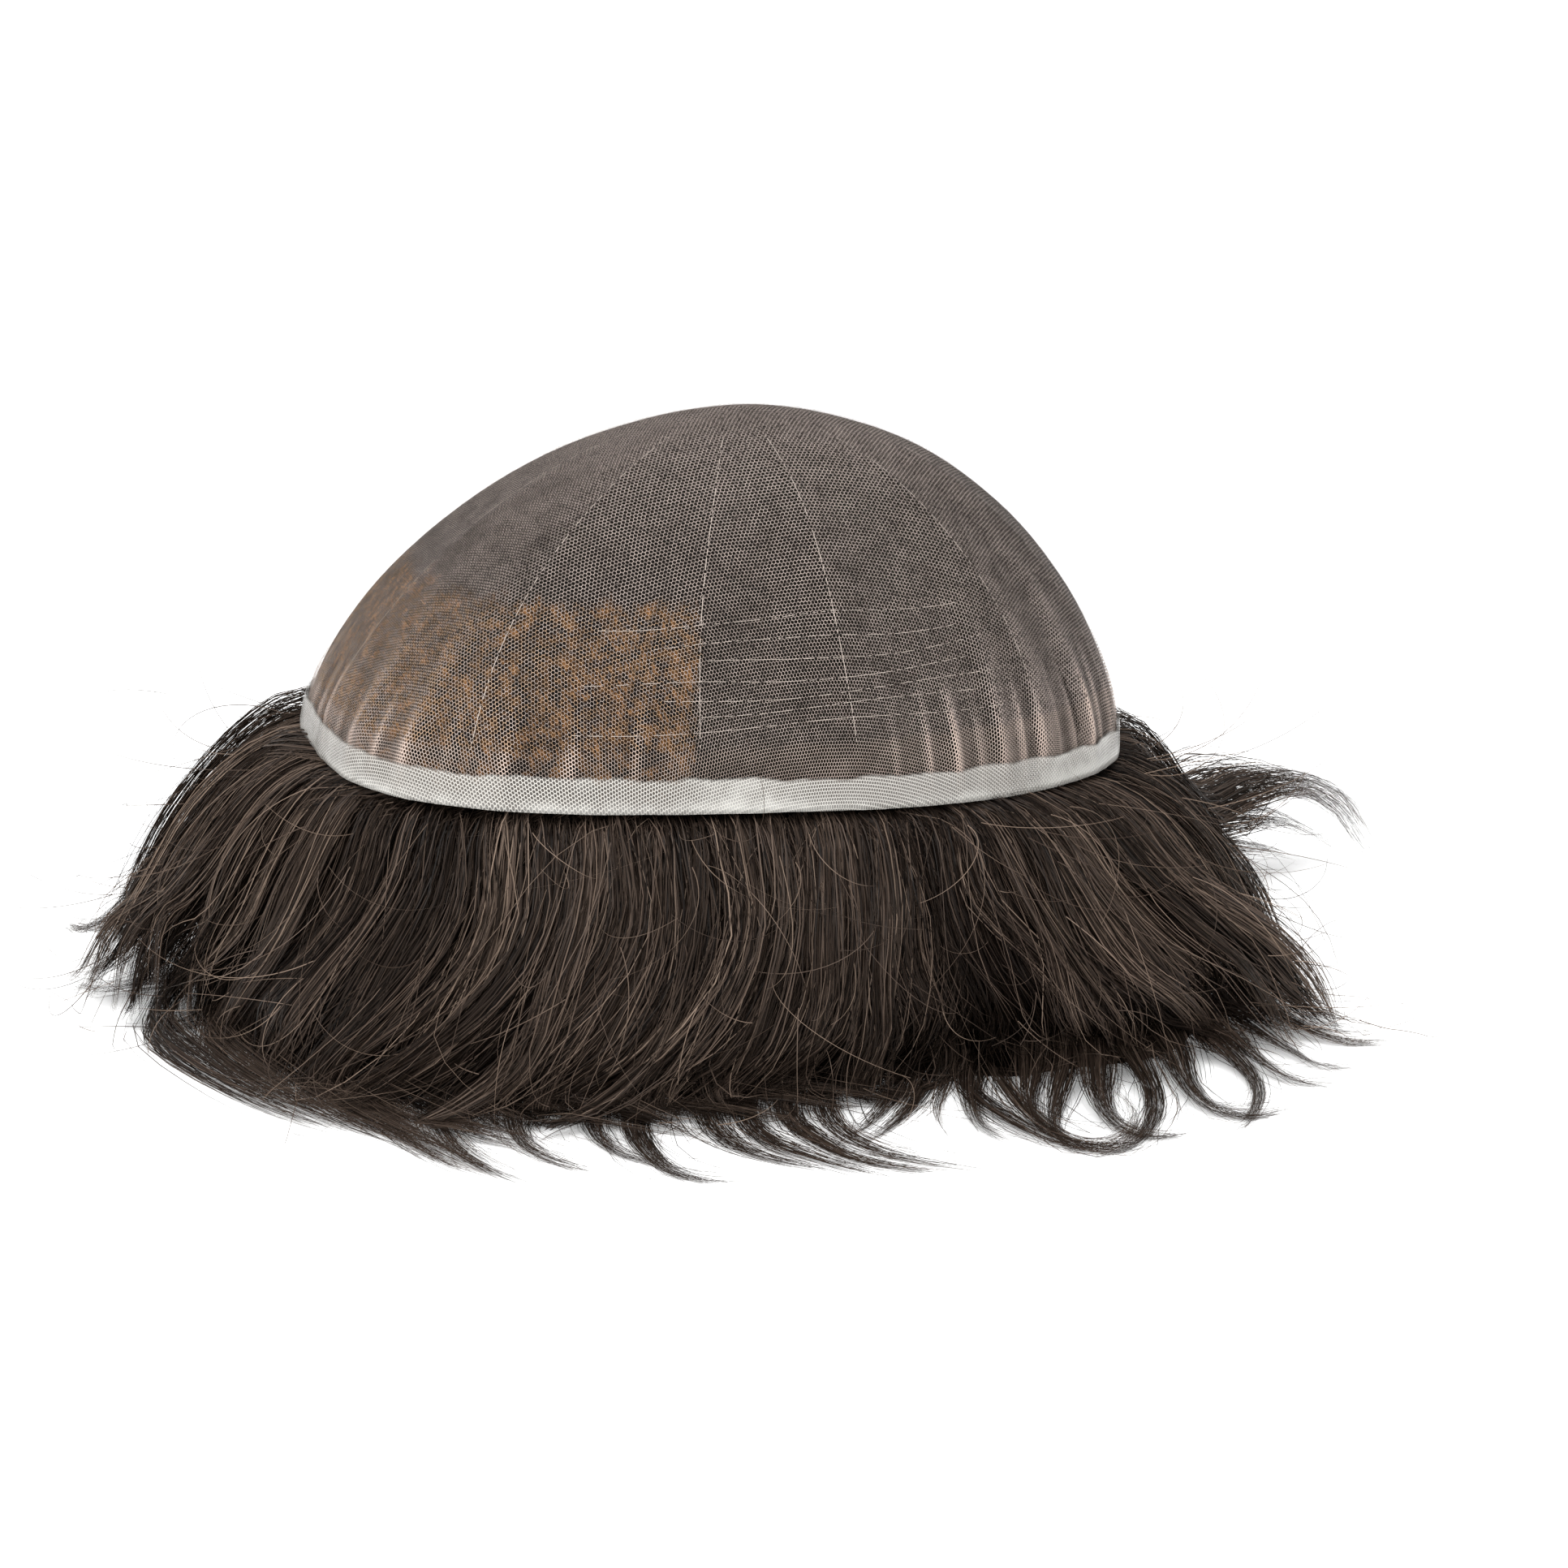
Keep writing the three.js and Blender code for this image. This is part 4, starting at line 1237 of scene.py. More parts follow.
WISPS = (
    Wisp(151, across=(318, 268, 230, 198, 170, 138, 106, 76),
         down=(905, 950, 996, 1048, 1100, 1132, 1145, 1134),
         height=(57, 48, 39, 29, 18, 13, 10, 9), wide=18, strands=290),
    Wisp(182, across=(300, 250, 215, 172, 135, 100, 62), down=(960, 1015, 1090, 1142, 1185, 1205, 1200),
         height=(46, 38, 22, 12, 6, 3, 3), wide=12, strands=160),
    Wisp(196, across=(330, 290, 229, 175, 129, 80), down=(1080, 1171, 1198, 1208, 1219, 1208),
         height=(30, 13, 7, 4, 2, 2), wide=12),
    Wisp(206, across=(430, 383, 314, 245, 190, 150), down=(1110, 1185, 1222, 1248, 1266, 1262),
         height=(28, 14, 7, 3, 1, 1), wide=12),
    Wisp(200, across=(300, 230, 196, 262, 350, 440), down=(1130, 1200, 1262, 1318, 1366, 1400),
         height=(22, 9, 4, 3, 2, 1), wide=12, strands=190),
    Wisp(204, across=(360, 290, 262, 325, 412, 500), down=(1130, 1220, 1272, 1326, 1370, 1408),
         height=(24, 9, 5, 4, 3, 1), wide=12, strands=170),
    Wisp(214, across=(420, 360, 368, 410, 490, 570), down=(1180, 1262, 1308, 1350, 1390, 1412),
         height=(20, 7, 5, 4, 2, 1), wide=10, strands=160),
    Wisp(218, across=(470, 430, 400, 440, 540, 640), down=(1150, 1240, 1300, 1360, 1412, 1462),
         height=(24, 9, 5, 3, 2, 1), wide=9, strands=150),
    Wisp(224, across=(520, 490, 462, 480, 535, 600), down=(1160, 1270, 1325, 1378, 1425, 1452),
         height=(24, 7, 4, 2, 1, 1), wide=8),
    Wisp(227, across=(560, 520, 500, 530, 590, 680), down=(1160, 1250, 1310, 1360, 1396, 1420),
         height=(26, 10, 5, 3, 2, 1), wide=8),
    Wisp(230, across=(590, 560, 537, 555, 600, 668), down=(1180, 1300, 1360, 1405, 1438, 1466),
         height=(22, 4, 1, 1, 1, 1), wide=8),
    Wisp(236, across=(680, 660, 632, 645, 698, 765), down=(1180, 1310, 1368, 1408, 1434, 1444),
         height=(22, 4, 1, 1, 1, 1), wide=8),
    Wisp(243, across=(780, 765, 731, 738, 785, 845), down=(1190, 1310, 1365, 1402, 1428, 1436),
         height=(22, 4, 1, 1, 1, 1), wide=8),
    Wisp(248, across=(830, 812, 783, 791, 840, 930), down=(1200, 1310, 1371, 1409, 1448, 1456),
         height=(22, 4, 1, 1, 1, 1), wide=8, strands=170),
    Wisp(252, across=(880, 868, 872, 906, 960, 1030), down=(1200, 1315, 1375, 1409, 1428, 1440),
         height=(22, 4, 1, 1, 1, 1), wide=8),
    Wisp(257, across=(940, 925, 915, 946, 1015, 1110), down=(1200, 1320, 1372, 1406, 1430, 1456),
         height=(22, 4, 1, 1, 1, 1), wide=8),
    Wisp(262, across=(1000, 985, 969, 1003, 1070, 1190), down=(1200, 1310, 1366, 1400, 1430, 1446),
         height=(22, 4, 1, 1, 1, 1), wide=8),
    Wisp(268, across=(1060, 1046, 1020, 1040, 1110, 1245), down=(1200, 1300, 1352, 1392, 1424, 1444),
         height=(22, 5, 1, 1, 1, 1), wide=6, strands=70),
    Wisp(276, across=(1142, 1146, 1140, 1118, 1085, 1052), down=(1190, 1270, 1320, 1363, 1394, 1412),
         height=(24, 9, 2, 1, 1, 1), wide=6),
    Wisp(272, across=(1105, 1118, 1112, 1092, 1058, 1018), down=(1190, 1270, 1322, 1360, 1394, 1400),
         height=(24, 8, 2, 1, 1, 1), wide=6),
    Wisp(287, across=(1210, 1204, 1196, 1204, 1235, 1275), down=(1200, 1290, 1340, 1380, 1400, 1410),
         height=(20, 4, 2, 1, 1, 1), wide=9),
    Wisp(294, across=(1270, 1272, 1268, 1282, 1310), down=(1200, 1300, 1350, 1385, 1405),
         height=(22, 6, 2, 1, 1), wide=10, strands=150),
    Wisp(300, across=(1330, 1350, 1352, 1372, 1420, 1480), down=(1190, 1290, 1340, 1380, 1400, 1392),
         height=(22, 8, 4, 2, 1, 1), wide=12, strands=190),
    Wisp(308, across=(1390, 1440, 1460, 1490, 1540, 1600), down=(1190, 1285, 1330, 1362, 1375, 1362),
         height=(20, 6, 3, 2, 1, 1), wide=12, strands=190),
    Wisp(315, across=(1440, 1510, 1556, 1600, 1655), down=(1180, 1268, 1308, 1332, 1336),
         height=(20, 6, 3, 1, 1), wide=12, strands=170),
    Wisp(281, across=(1170, 1174, 1165, 1154, 1172), down=(1200, 1270, 1332, 1371, 1406),
         height=(22, 8, 1, 1, 1), wide=3, strands=40),
    Wisp(284, across=(1190, 1180, 1192, 1240, 1310, 1380, 1412),
         down=(1200, 1290, 1340, 1376, 1408, 1412, 1380),
         height=(20, 3, 1, 1, 1, 2, 4), wide=6, strands=90),
    Wisp(290, across=(1230, 1225, 1258, 1315, 1377, 1402, 1378, 1346),
         down=(1200, 1300, 1360, 1403, 1411, 1378, 1344, 1344),
         height=(20, 3, 1, 1, 2, 5, 7, 7), wide=5, strands=90),
    Wisp(297, across=(1290, 1312, 1302, 1296, 1318, 1370), down=(1200, 1290, 1340, 1380, 1414, 1424),
         height=(22, 8, 4, 2, 1, 1), wide=7),
    Wisp(304, across=(1350, 1392, 1418, 1418, 1390, 1322), down=(1190, 1290, 1340, 1380, 1412, 1424),
         height=(22, 7, 3, 1, 1, 1), wide=7),
    Wisp(312, across=(1420, 1490, 1536, 1550, 1534, 1504), down=(1180, 1270, 1316, 1350, 1384, 1396),
         height=(20, 6, 2, 1, 1, 1), wide=9),
    Wisp(318, across=(1450, 1540, 1592, 1631, 1684), down=(1190, 1262, 1294, 1314, 1312),
         height=(18, 5, 2, 1, 1), wide=10),
    Wisp(324, across=(1470, 1560, 1631, 1680, 1728), down=(1170, 1240, 1275, 1284, 1280),
         height=(18, 6, 2, 1, 1), wide=9),
    Wisp(8, across=(1454, 1508, 1566, 1622, 1660, 1678, 1706), down=(986, 972, 962, 972, 1000, 1032, 1066),
         height=(30, 27, 25, 21, 15, 9, 4), wide=19, strands=380, blunt=0.5),
    Wisp(4, across=(1440, 1500, 1560, 1612, 1660), down=(1010, 1008, 1005, 1024, 1056),
         height=(28, 22, 18, 12, 5), wide=14, strands=190, blunt=0.3),
    Wisp(352, across=(1430, 1480, 1530, 1575, 1610), down=(1030, 1040, 1042, 1050, 1066),
         height=(26, 18, 12, 7, 3), wide=12, strands=120, blunt=0.2),
)


@dataclass(frozen=True)
class HairSizes:
    """The driving sizes of the hair."""

    shelf: float = 9 * MM
    bulge: float = 50 * MM
    inset: float = 20 * MM
    wall: float = 12 * MM
    run: float = 20 * MM
    sweep: float = 20 * MM
    hook: float = 20 * MM
    lift: float = 4 * MM
    ribbon: float = 0.27 * MM
    fly_ribbon: float = 0.2 * MM
    lock_half: float = 4.2
    bulge_angles: tuple[float, ...] = (
        0, 22, 55, 90, 125, 152, 176, 198, 220, 242, 262, 285, 306, 326, 345, 360)
    bulge_shares: tuple[float, ...] = (
        0.72, 0.88, 0.92, 0.9, 0.9, 1, 0.86, 0.42, 0.28, 0.32, 0.34, 0.3, 0.66, 0.9, 0.8, 0.72)

    def bulge_at(self, angle: np.ndarray) -> np.ndarray:
        """Gives how far the hair bulges past the rim.

        Args:
            angle: Directions round the crown.

        Returns:
            The distance for each direction, eased from angle to angle.
        """
        turn = np.asarray(angle) % 360.0
        after = np.searchsorted(self.bulge_angles, turn, side="right")
        after = np.clip(after, 1, len(self.bulge_angles) - 1)
        knots = np.array(self.bulge_angles)
        shares = np.array(self.bulge_shares)
        way = (turn - knots[after - 1]) / (knots[after] - knots[after - 1])
        way = way * way * (3 - 2 * way)
        return self.bulge * (shares[after - 1] * (1 - way) + shares[after] * way)

    @staticmethod
    def furrow(angle: np.ndarray) -> np.ndarray:
        """Gives how deep the hair's long furrows are in each direction, in millimetres."""
        turn = np.radians(angle)
        return 1.3 * (1 + np.sin(23 * turn + 0.7)) + 0.8 * (1 + np.sin(41 * turn + 2.0))

    def flow(self, angle: np.ndarray, key: str) -> np.ndarray:
        """Gives one of the locks' shares in each direction, eased from lock to lock.

        Args:
            angle: Directions round the crown.
            key: The share's name in Lock.

        Returns:
            The share for each direction.
        """
        spots = [lock.angle for lock in LOCKS]
        return np.interp(angle % 360.0, spots, [getattr(lock, key) for lock in LOCKS], period=360.0)

    def nearest(self, angle: np.ndarray) -> np.ndarray:
        """Finds the lock that each direction belongs to.

        Args:
            angle: Directions round the crown.

        Returns:
            The direction of each one's lock, less than half a turn away.
        """
        spots = np.array([lock.angle for lock in LOCKS])
        apart = (angle[:, None] - spots[None, :] + 180.0) % 360.0 - 180.0
        pick = np.abs(apart).argmin(axis=1)
        return angle - apart[np.arange(len(angle)), pick]

    def aside(self, angle: np.ndarray, lock: np.ndarray) -> np.ndarray:
        """Gives how far directions lie from the middle of their locks: 0 there, and 1 at a lock's edge."""
        return np.minimum(turned(angle, lock) / self.lock_half, 1.2) ** 2


@dataclass(frozen=True)
class Layer:
    """One layer of a zone's hair: its shares of the zone's tufts and strands, how deep it lies, and its
    tone, painted shade on the middle layer and painted light on the top one.
    """

    name: str
    tufts: float
    strands: float
    near: float
    far: float
    narrow: float
    wide: float
    tone: float


LAYERS = (
    Layer("under_strands", 1.0, 0.28, 0.6, 1.0, 6, 13, 0.0),
    Layer("middle_strands", 0.6, 0.38, 0.3, 0.6, 4, 9, -0.05),
    Layer("top_strands", 0.42, 0.34, 0.0, 0.2, 2.5, 5.5, 0.12),
)


@dataclass
class HairZone:
    """The hair that falls from one stretch of the rim: a body behind, painted dark as shade, and strands in
    locks over it.
    """

    zone: Zone
    start: float
    end: float
    form: HeadForm
    sizes: HairSizes
    tufts: int
    strands: int
    steps: int = 15
    wisp_steps: int = 17
    fly_steps: int = 18
    loose: int = 200

    def body(self, finish: bpy.types.Material) -> bpy.types.Object:
        """Builds the dense hair behind the locks, painted dark as shade.

        Args:
            finish: Its material.

        Returns:
            The body, a closed ring segment that stands on the table.
        """
        piece = Bench.sheet(f"{self.zone.value}_body", 40, 28)
        grid = Bench.points(piece) + 0.5
        angle = self.start + (self.end - self.start) * grid[:, 0]
        rim = self.form.rim_plan(angle)
        out = self.form.rim_normal(angle)
        foot = self.sizes.bulge_at(angle) - self.sizes.inset
        heel = foot - self.sizes.wall
        height = self.form.rim_height(rim[:, 0]) - 1.2 * MM
        way = grid[:, 1] * 4
        bend = np.clip(way, 0, 2) / 2 * math.pi / 2
        shelf = -self.sizes.shelf * 0.7
        reach = np.where(way < 2, shelf + (foot - shelf) * np.sin(bend), foot)
        level = np.where(way < 2, height * np.cos(bend), 0.0)
        reach = np.where(way > 2, foot + (heel - foot) * np.clip(way - 2, 0, 1), reach)
        inner = np.clip(way - 3, 0, 1)
        reach = np.where(way > 3, heel + (shelf - heel) * np.sin(inner * math.pi / 2), reach)
        level = np.where(way > 3, height * (1 - np.cos(inner * math.pi / 2)), level)
        points = rim + out * reach[:, None] + self.form.centre
        points[:, 2] = np.maximum(level, 0.0)
        Bench.shape(piece, points)
        flat = np.stack([np.radians(angle) * self.form.front, way * 30 * MM], axis=1)
        Bench.lay_out(piece, "flow", flat + 1.0)
        bpy.ops.object.mode_set(mode="EDIT")
        bpy.ops.mesh.select_all(action="SELECT")
        bpy.ops.mesh.remove_doubles(threshold=0.02 * MM)
        bpy.ops.mesh.select_all(action="DESELECT")
        bpy.ops.mesh.select_mode(type="EDGE")
        bpy.ops.mesh.select_non_manifold()
        bpy.ops.mesh.edge_face_add()
        bpy.ops.mesh.select_mode(type="VERT")
        bpy.ops.object.mode_set(mode="OBJECT")
        Bench.outward(piece)
        return Bench.seat(piece, finish, "hair", self.zone.value)

    def tuft_facts(self, rng: np.random.Generator, count: int, layer: Layer) -> dict[str, np.ndarray]:
        """Chooses where each tuft grows and how it falls.

        Args:
            rng: The source of its small differences.
            count: How many tufts.
            layer: The layer that they belong to.

        Returns:
            One array of a value for each tuft, by name.
        """
        spots = (np.arange(count) + rng.uniform(0.05, 0.95, count)) / count
        angle = self.start + (self.end - self.start) * spots
        depth = rng.permutation(np.linspace(layer.near, layer.far, count))
        sizes = self.sizes
        lock = sizes.nearest(angle + rng.normal(0, 0.8, count))
        wild = rng.random(count) < 0.3
        loose = np.where(wild, 1.0, 0.4)
        roll = smooth(angle, 190.0, 215.0) * (1 - smooth(angle, 308.0, 330.0))
        return {
            "angle": angle,
            "lock": lock,
            "gather": np.where(wild, rng.uniform(0.1, 0.6, count), rng.uniform(0.8, 1.0, count)),
            "run": sizes.run * (0.75 * sizes.flow(lock, "run") + rng.uniform(-0.9, 0.3, count) * loose),
            "sweep": sizes.sweep * sizes.flow(angle, "sweep") + rng.normal(0, 6.0, count) * loose * MM,
            "hook": sizes.hook * sizes.flow(lock, "hook") * (1 + rng.normal(-0.1, 0.3, count) * loose)
            + rng.normal(0, 5.0, count) * loose * MM,
            "lift": sizes.lift * sizes.flow(lock, "lift") * rng.uniform(0.6, 1.05, count),
            "bow": sizes.flow(angle, "bow") * rng.uniform(0.94, 1.06, count),
            "depth": depth,
            "wide": rng.uniform(layer.narrow, layer.wide, count) * MM,
            "deep": rng.uniform(2.0, 4.5, count) * MM,
            "wave": rng.uniform(2.0, 7.0, count) * MM * loose ** 0.4,
            "turns": rng.uniform(1.1, 2.1, count),
            "belly": rng.uniform(0.0, 5.0, count) * MM * roll,
            "tuck": rng.uniform(2.0, 10.0, count) * MM * roll,
            "phase": 3.0 * np.sin(7 * np.radians(angle)) + rng.normal(0, 0.9, count),
            "ends": rng.uniform(0.92, 1.0, count) - 0.12 * wild * rng.random(count),
            # Tone: random for each tuft, plus painted shade or light by layer and by lock.
            "tone": rng.normal(0, 0.1, count) + layer.tone + sizes.flow(angle, "tone"),
        }

    def fall(self, of: dict[str, np.ndarray], p: np.ndarray, start: np.ndarray) -> tuple[np.ndarray, ...]:
        """Works out how strands leave the rim and fall to the table.

        Args:
            of: Each strand's facts, one column each.
            p: How far along each point is, as strands by points.
            start: How far inside the rim each strand starts.

        Returns:
            The reach past the rim, the level over the table and the drift along the rim.
        """
        angle = of["angle"][:, 0]
        foot = self.sizes.bulge_at(angle)[:, None]
        edge = self.sizes.aside(angle, of["lock"][:, 0])[:, None]
        recess = 0.5 + 10 * of["depth"] * (1 - 0.5 * smooth(p, 0.5, 1.0))
        recess = recess + self.sizes.furrow(angle)[:, None]
        bulge = foot - (recess + 5.5 * edge * smooth(p, 0.15, 0.65)) * MM
        top = self.form.rim_height(self.form.rim_plan(angle)[:, 0])[:, None]
        top = top - (2.2 + 5 * of["depth"]) * MM
        reach = start + (bulge - start) * np.sin(np.minimum(p / of["bow"], 1.0) * math.pi / 2)
        reach = reach + of["run"] * np.clip((p - 0.35) / 0.65, 0, 1) ** 1.6
        reach += of["belly"] * hump(p, 0.22, 0.64)
        reach -= of["tuck"] * hump(p, 0.52, 0.9)
        lands = np.minimum(of["bow"] + 0.22, 0.92)
        table = 0.5 * MM
        level = table + (top - table) * (1 + np.cos(np.minimum(p / lands, 1.0) * math.pi)) / 2
        level += of["lift"] * hump(p, 0.45, 1.07)
        drift = of["sweep"] * smooth(p, 0.24, 0.8) + of["hook"] * np.clip((p - 0.55) / 0.45, 0, 1) ** 2
        curl = 2 * math.pi * of["turns"] * p + of["phase"]
        drift += of["wave"] * np.sin(curl) * smooth(p, 0.1, 0.5)
        level += 0.5 * of["wave"] * np.cos(curl) * smooth(p, 0.15, 0.5) * (1 - smooth(p, 0.8, 1.0))
        return reach, level, drift

    def ground(self, of: dict[str, np.ndarray], p: np.ndarray, reach: np.ndarray, level: np.ndarray,
               drift: np.ndarray) -> np.ndarray:
        """Turns reach, level and drift into points, drawn together towards the middle of each lock.

        Args:
            of: Each strand's facts, one column each.
            p: How far along each point is.
            reach: How far past the rim.
            level: How far over the table.
            drift: How far along the rim.

        Returns:
            The points, as strands by points by three.
        """
        angle, lock = of["angle"][:, 0], of["lock"][:, 0]
        rim, out = self.form.rim_plan(angle), self.form.rim_normal(angle)
        foot = self.sizes.bulge_at(angle)[:, None]
        along = np.stack([-out[:, 1], out[:, 0], np.zeros(len(angle))], axis=1)
        pull = self.form.rim_plan(lock) + self.form.rim_normal(lock) * foot - rim - out * foot
        pull = pull[:, None, :] * (of["gather"] * smooth(p, 0.3, 0.95))[..., None]
        way = rim[:, None, :] + out[:, None, :] * reach[..., None]
        way = way + along[:, None, :] * drift[..., None] + pull
        way[..., 2] = level
        return way + self.form.centre

    def lay_strands(self, layer: Layer, finish: bpy.types.Material) -> bpy.types.Object:
        """Builds one layer of strands.

        Args:
            layer: The layer.
            finish: Its material.

        Returns:
            The strands as one piece.
        """
        count = int(self.strands * layer.strands)
        rng = np.random.default_rng(SEED + int(100 * layer.far) + int(self.start))
        facts = self.tuft_facts(rng, int(self.tufts * layer.tufts), layer)
        tuft = rng.integers(0, int(self.tufts * layer.tufts), count)
        of = {key: values[tuft][:, None] for key, values in facts.items()}
        stray = rng.random((count, 1)) < 0.1
        ends = of["ends"] * (1 - 0.4 * rng.beta(1.2, 2.2, (count, 1)))
        p = np.linspace(0, 1, self.steps)[None, :] ** 0.9 * ends

        radius = np.sqrt(rng.random((count, 1)))
        spin = rng.uniform(0, 2 * math.pi, (count, 1))
        narrow = 1.25 - 0.15 * smooth(p, 0.0, 0.3) - 0.84 * smooth(p, 0.45, 0.95)
        start = -rng.uniform(0.2, 1.0, (count, 1)) * self.sizes.shelf
        reach, level, drift = self.fall(of, p, start)

        lean = rng.normal(0, 1, (count, 1)) * np.where(stray, 11.0, 2.4) * MM
        drift += lean * np.sin(math.pi * np.clip(p * rng.uniform(0.8, 1.3, (count, 1)), 0, 1))
        own = rng.normal(0, 1, (count, 1)) * np.where(stray, 4.0, 1.0) * MM
        curl = 2 * math.pi * rng.uniform(0.6, 2.2, (count, 1)) * p + of["phase"]
        drift += own * np.sin(curl) * smooth(p, 0.1, 0.6)
        drift += radius * np.cos(spin) * of["wide"] / 2 * narrow
        slope_out = np.gradient(reach, axis=1)
        slope_up = np.gradient(level, axis=1)
        length = np.maximum(np.hypot(slope_out, slope_up), 1e-9)
        proud = radius * np.sin(spin) * of["deep"] / 2 * narrow
        lifted = np.abs(rng.normal(0, 1, (count, 1))) * np.where(stray, 3.0, 0.5) * MM
        proud += lifted * smooth(p, 0.05, 0.9)
        reach = reach - slope_up / length * proud
        level = np.maximum(level + slope_out / length * proud, (0.15 + 0.6 * rng.random((count, 1))) * MM)
        way = self.ground(of, p, reach, level, drift)

        out = self.form.rim_normal(of["angle"][:, 0])
        tangent = unit(np.gradient(way, axis=1))
        face = (-slope_up / length)[..., None] * out[:, None, :]
        face[..., 2] = slope_out / length
        flat = unit(np.cross(tangent, face))
        tilt = rng.normal(0, 0.5, (count, 1, 1))
        edge = flat * np.cos(tilt) + np.cross(tangent, flat) * np.sin(tilt)
        thick = self.sizes.ribbon / 2 * rng.uniform(0.6, 1.15, (count, 1)) * np.where(stray, 0.6, 1.0)
        taper = (0.75 + 0.25 * smooth(p, 0, 0.2)) * (1 - 0.8 * smooth(p / ends, 0.75, 1.0))
        across = edge * (thick * taper)[..., None]

        # Strands near a lock's edge are darkened: painted shade between the locks.
        apart = self.sizes.aside(of["angle"][:, 0], of["lock"][:, 0])
        tone = rng.beta(1.6, 2.8, count) + of["tone"][:, 0] - 0.16 * apart
        tone += 0.3 * (rng.random(count) < 0.02)
        tone = np.clip(tone + 0.2 * stray[:, 0], 0, 1)
        piece = Loom.ribbons(f"{self.zone.value}_{layer.name}", way, across, tone)
        return Bench.seat(piece, finish, "hair", self.zone.value)

    def wisps(self, studio: "Studio", finish: bpy.types.Material) -> bpy.types.Object:
        """Builds the zone's locks that have a way of their own.

        Args:
            studio: Whose camera the ways were seen through.
            finish: The hair's material.

        Returns:
            All these locks as one piece.
        """
        rng = np.random.default_rng(SEED + 9 + int(self.start))
        ways, edges, tones = [], [], []
        for wisp in WISPS:
            if self.start <= wisp.angle + 360 * (wisp.angle < self.start - 180) < self.end:
                way, edge = self.wisp_strands(wisp, studio, rng)
                ways.append(way)
                edges.append(edge)
                tones.append(np.clip(rng.beta(1.6, 2.6, wisp.strands) + rng.normal(0, 0.06), 0, 1))
        piece = Loom.ribbons(f"{self.zone.value}_wisps", np.vstack(ways), np.vstack(edges),
                             np.concatenate(tones))
        return Bench.seat(piece, finish, "hair", self.zone.value)

    def wisp_line(self, wisp: Wisp, studio: "Studio", out: np.ndarray) -> np.ndarray:
        """Works out the middle line of a wisp, from under the rim through its spots.

        Args:
            wisp: The wisp.
            studio: Whose camera the spots were seen through.
            out: The direction in which the rim faces there.

        Returns:
            The line's points.
        """
        rim = self.form.rim_plan(np.array([wisp.angle]))[0]
        root = rim + self.form.centre - out * 4 * MM
        root[2] = self.form.rim_height(rim[0]) - 3 * MM
        seen = np.array([studio.seen(*spot) for spot in zip(wisp.across, wisp.down, wisp.height)])
        brow = root + out * 6 * MM + (seen[0] - root) * (0.34, 0.34, 0.2)
        return line_through(np.vstack([root, brow, seen]), 120)

    def wisp_strands(self, wisp: Wisp, studio: "Studio",
                     rng: np.random.Generator) -> tuple[np.ndarray, np.ndarray]:
        """Lays a wisp's strands along its middle line.

        Args:
            wisp: The wisp.
            studio: Whose camera its spots were seen through.
            rng: The source of the strands' small differences.

        Returns:
            The middle of each strand, and the vector from there to one edge.
        """
        out = self.form.rim_normal(np.array([wisp.angle]))[0]
        line = self.wisp_line(wisp, studio, out)
        ahead = unit(np.gradient(line, axis=0))
        side = unit(np.cross(ahead, out + (0, 0, 0.6)))
        rise = np.cross(side, ahead)
        count = wisp.strands
        ends = rng.uniform(0.94, 1.0, (count, 1)) * (1 - 0.35 * rng.beta(1.0, 2.8, (count, 1)))
        p = np.linspace(0, 1, self.wisp_steps)[None, :] * ends
        last = len(line) - 1
        spot = np.minimum((p * last).astype(int), last - 1)
        share = (p * last - spot)[..., None]
        middle = line[spot] * (1 - share) + line[spot + 1] * share
        radius = np.sqrt(rng.random((count, 1)))
        spin = rng.uniform(0, 2 * math.pi, (count, 1))
        narrow = 1.1 - 0.3 * smooth(p, 0.1, 0.5) - (0.8 - wisp.blunt) * smooth(p, 0.5, 1.0)
        stray = rng.random((count, 1)) < 0.2
        bow = rng.normal(0, 1, (count, 1)) * np.where(stray, 6.0, 1.3)
        bow = bow * np.sin(math.pi * p * rng.uniform(0.5, 1.2, (count, 1)))
        wave = rng.normal(0, 1, (count, 1)) * np.where(stray, 1.6, 0.5)
        wave = wave * np.sin(9 * p + spin) * smooth(p, 0.1, 0.5)
        aside = (radius * np.cos(spin) * wisp.wide / 2 * narrow + bow + wave) * MM
        proud = radius * np.sin(spin) * wisp.wide / 3.4 * narrow * MM
        way = middle + side[spot] * aside[..., None] + rise[spot] * proud[..., None]
        way[..., 2] = np.maximum(way[..., 2], (0.2 + 0.8 * rng.random((count, 1))) * MM)
        tilt = rng.normal(0, 0.5, (count, 1, 1))
        thick = self.sizes.ribbon / 2 * rng.uniform(0.5, 1.0, (count, 1))
        thick = thick * (1 - 0.8 * smooth(p / ends, 0.6, 1.0))
        return way, (side[spot] * np.cos(tilt) + rise[spot] * np.sin(tilt)) * thick[..., None]

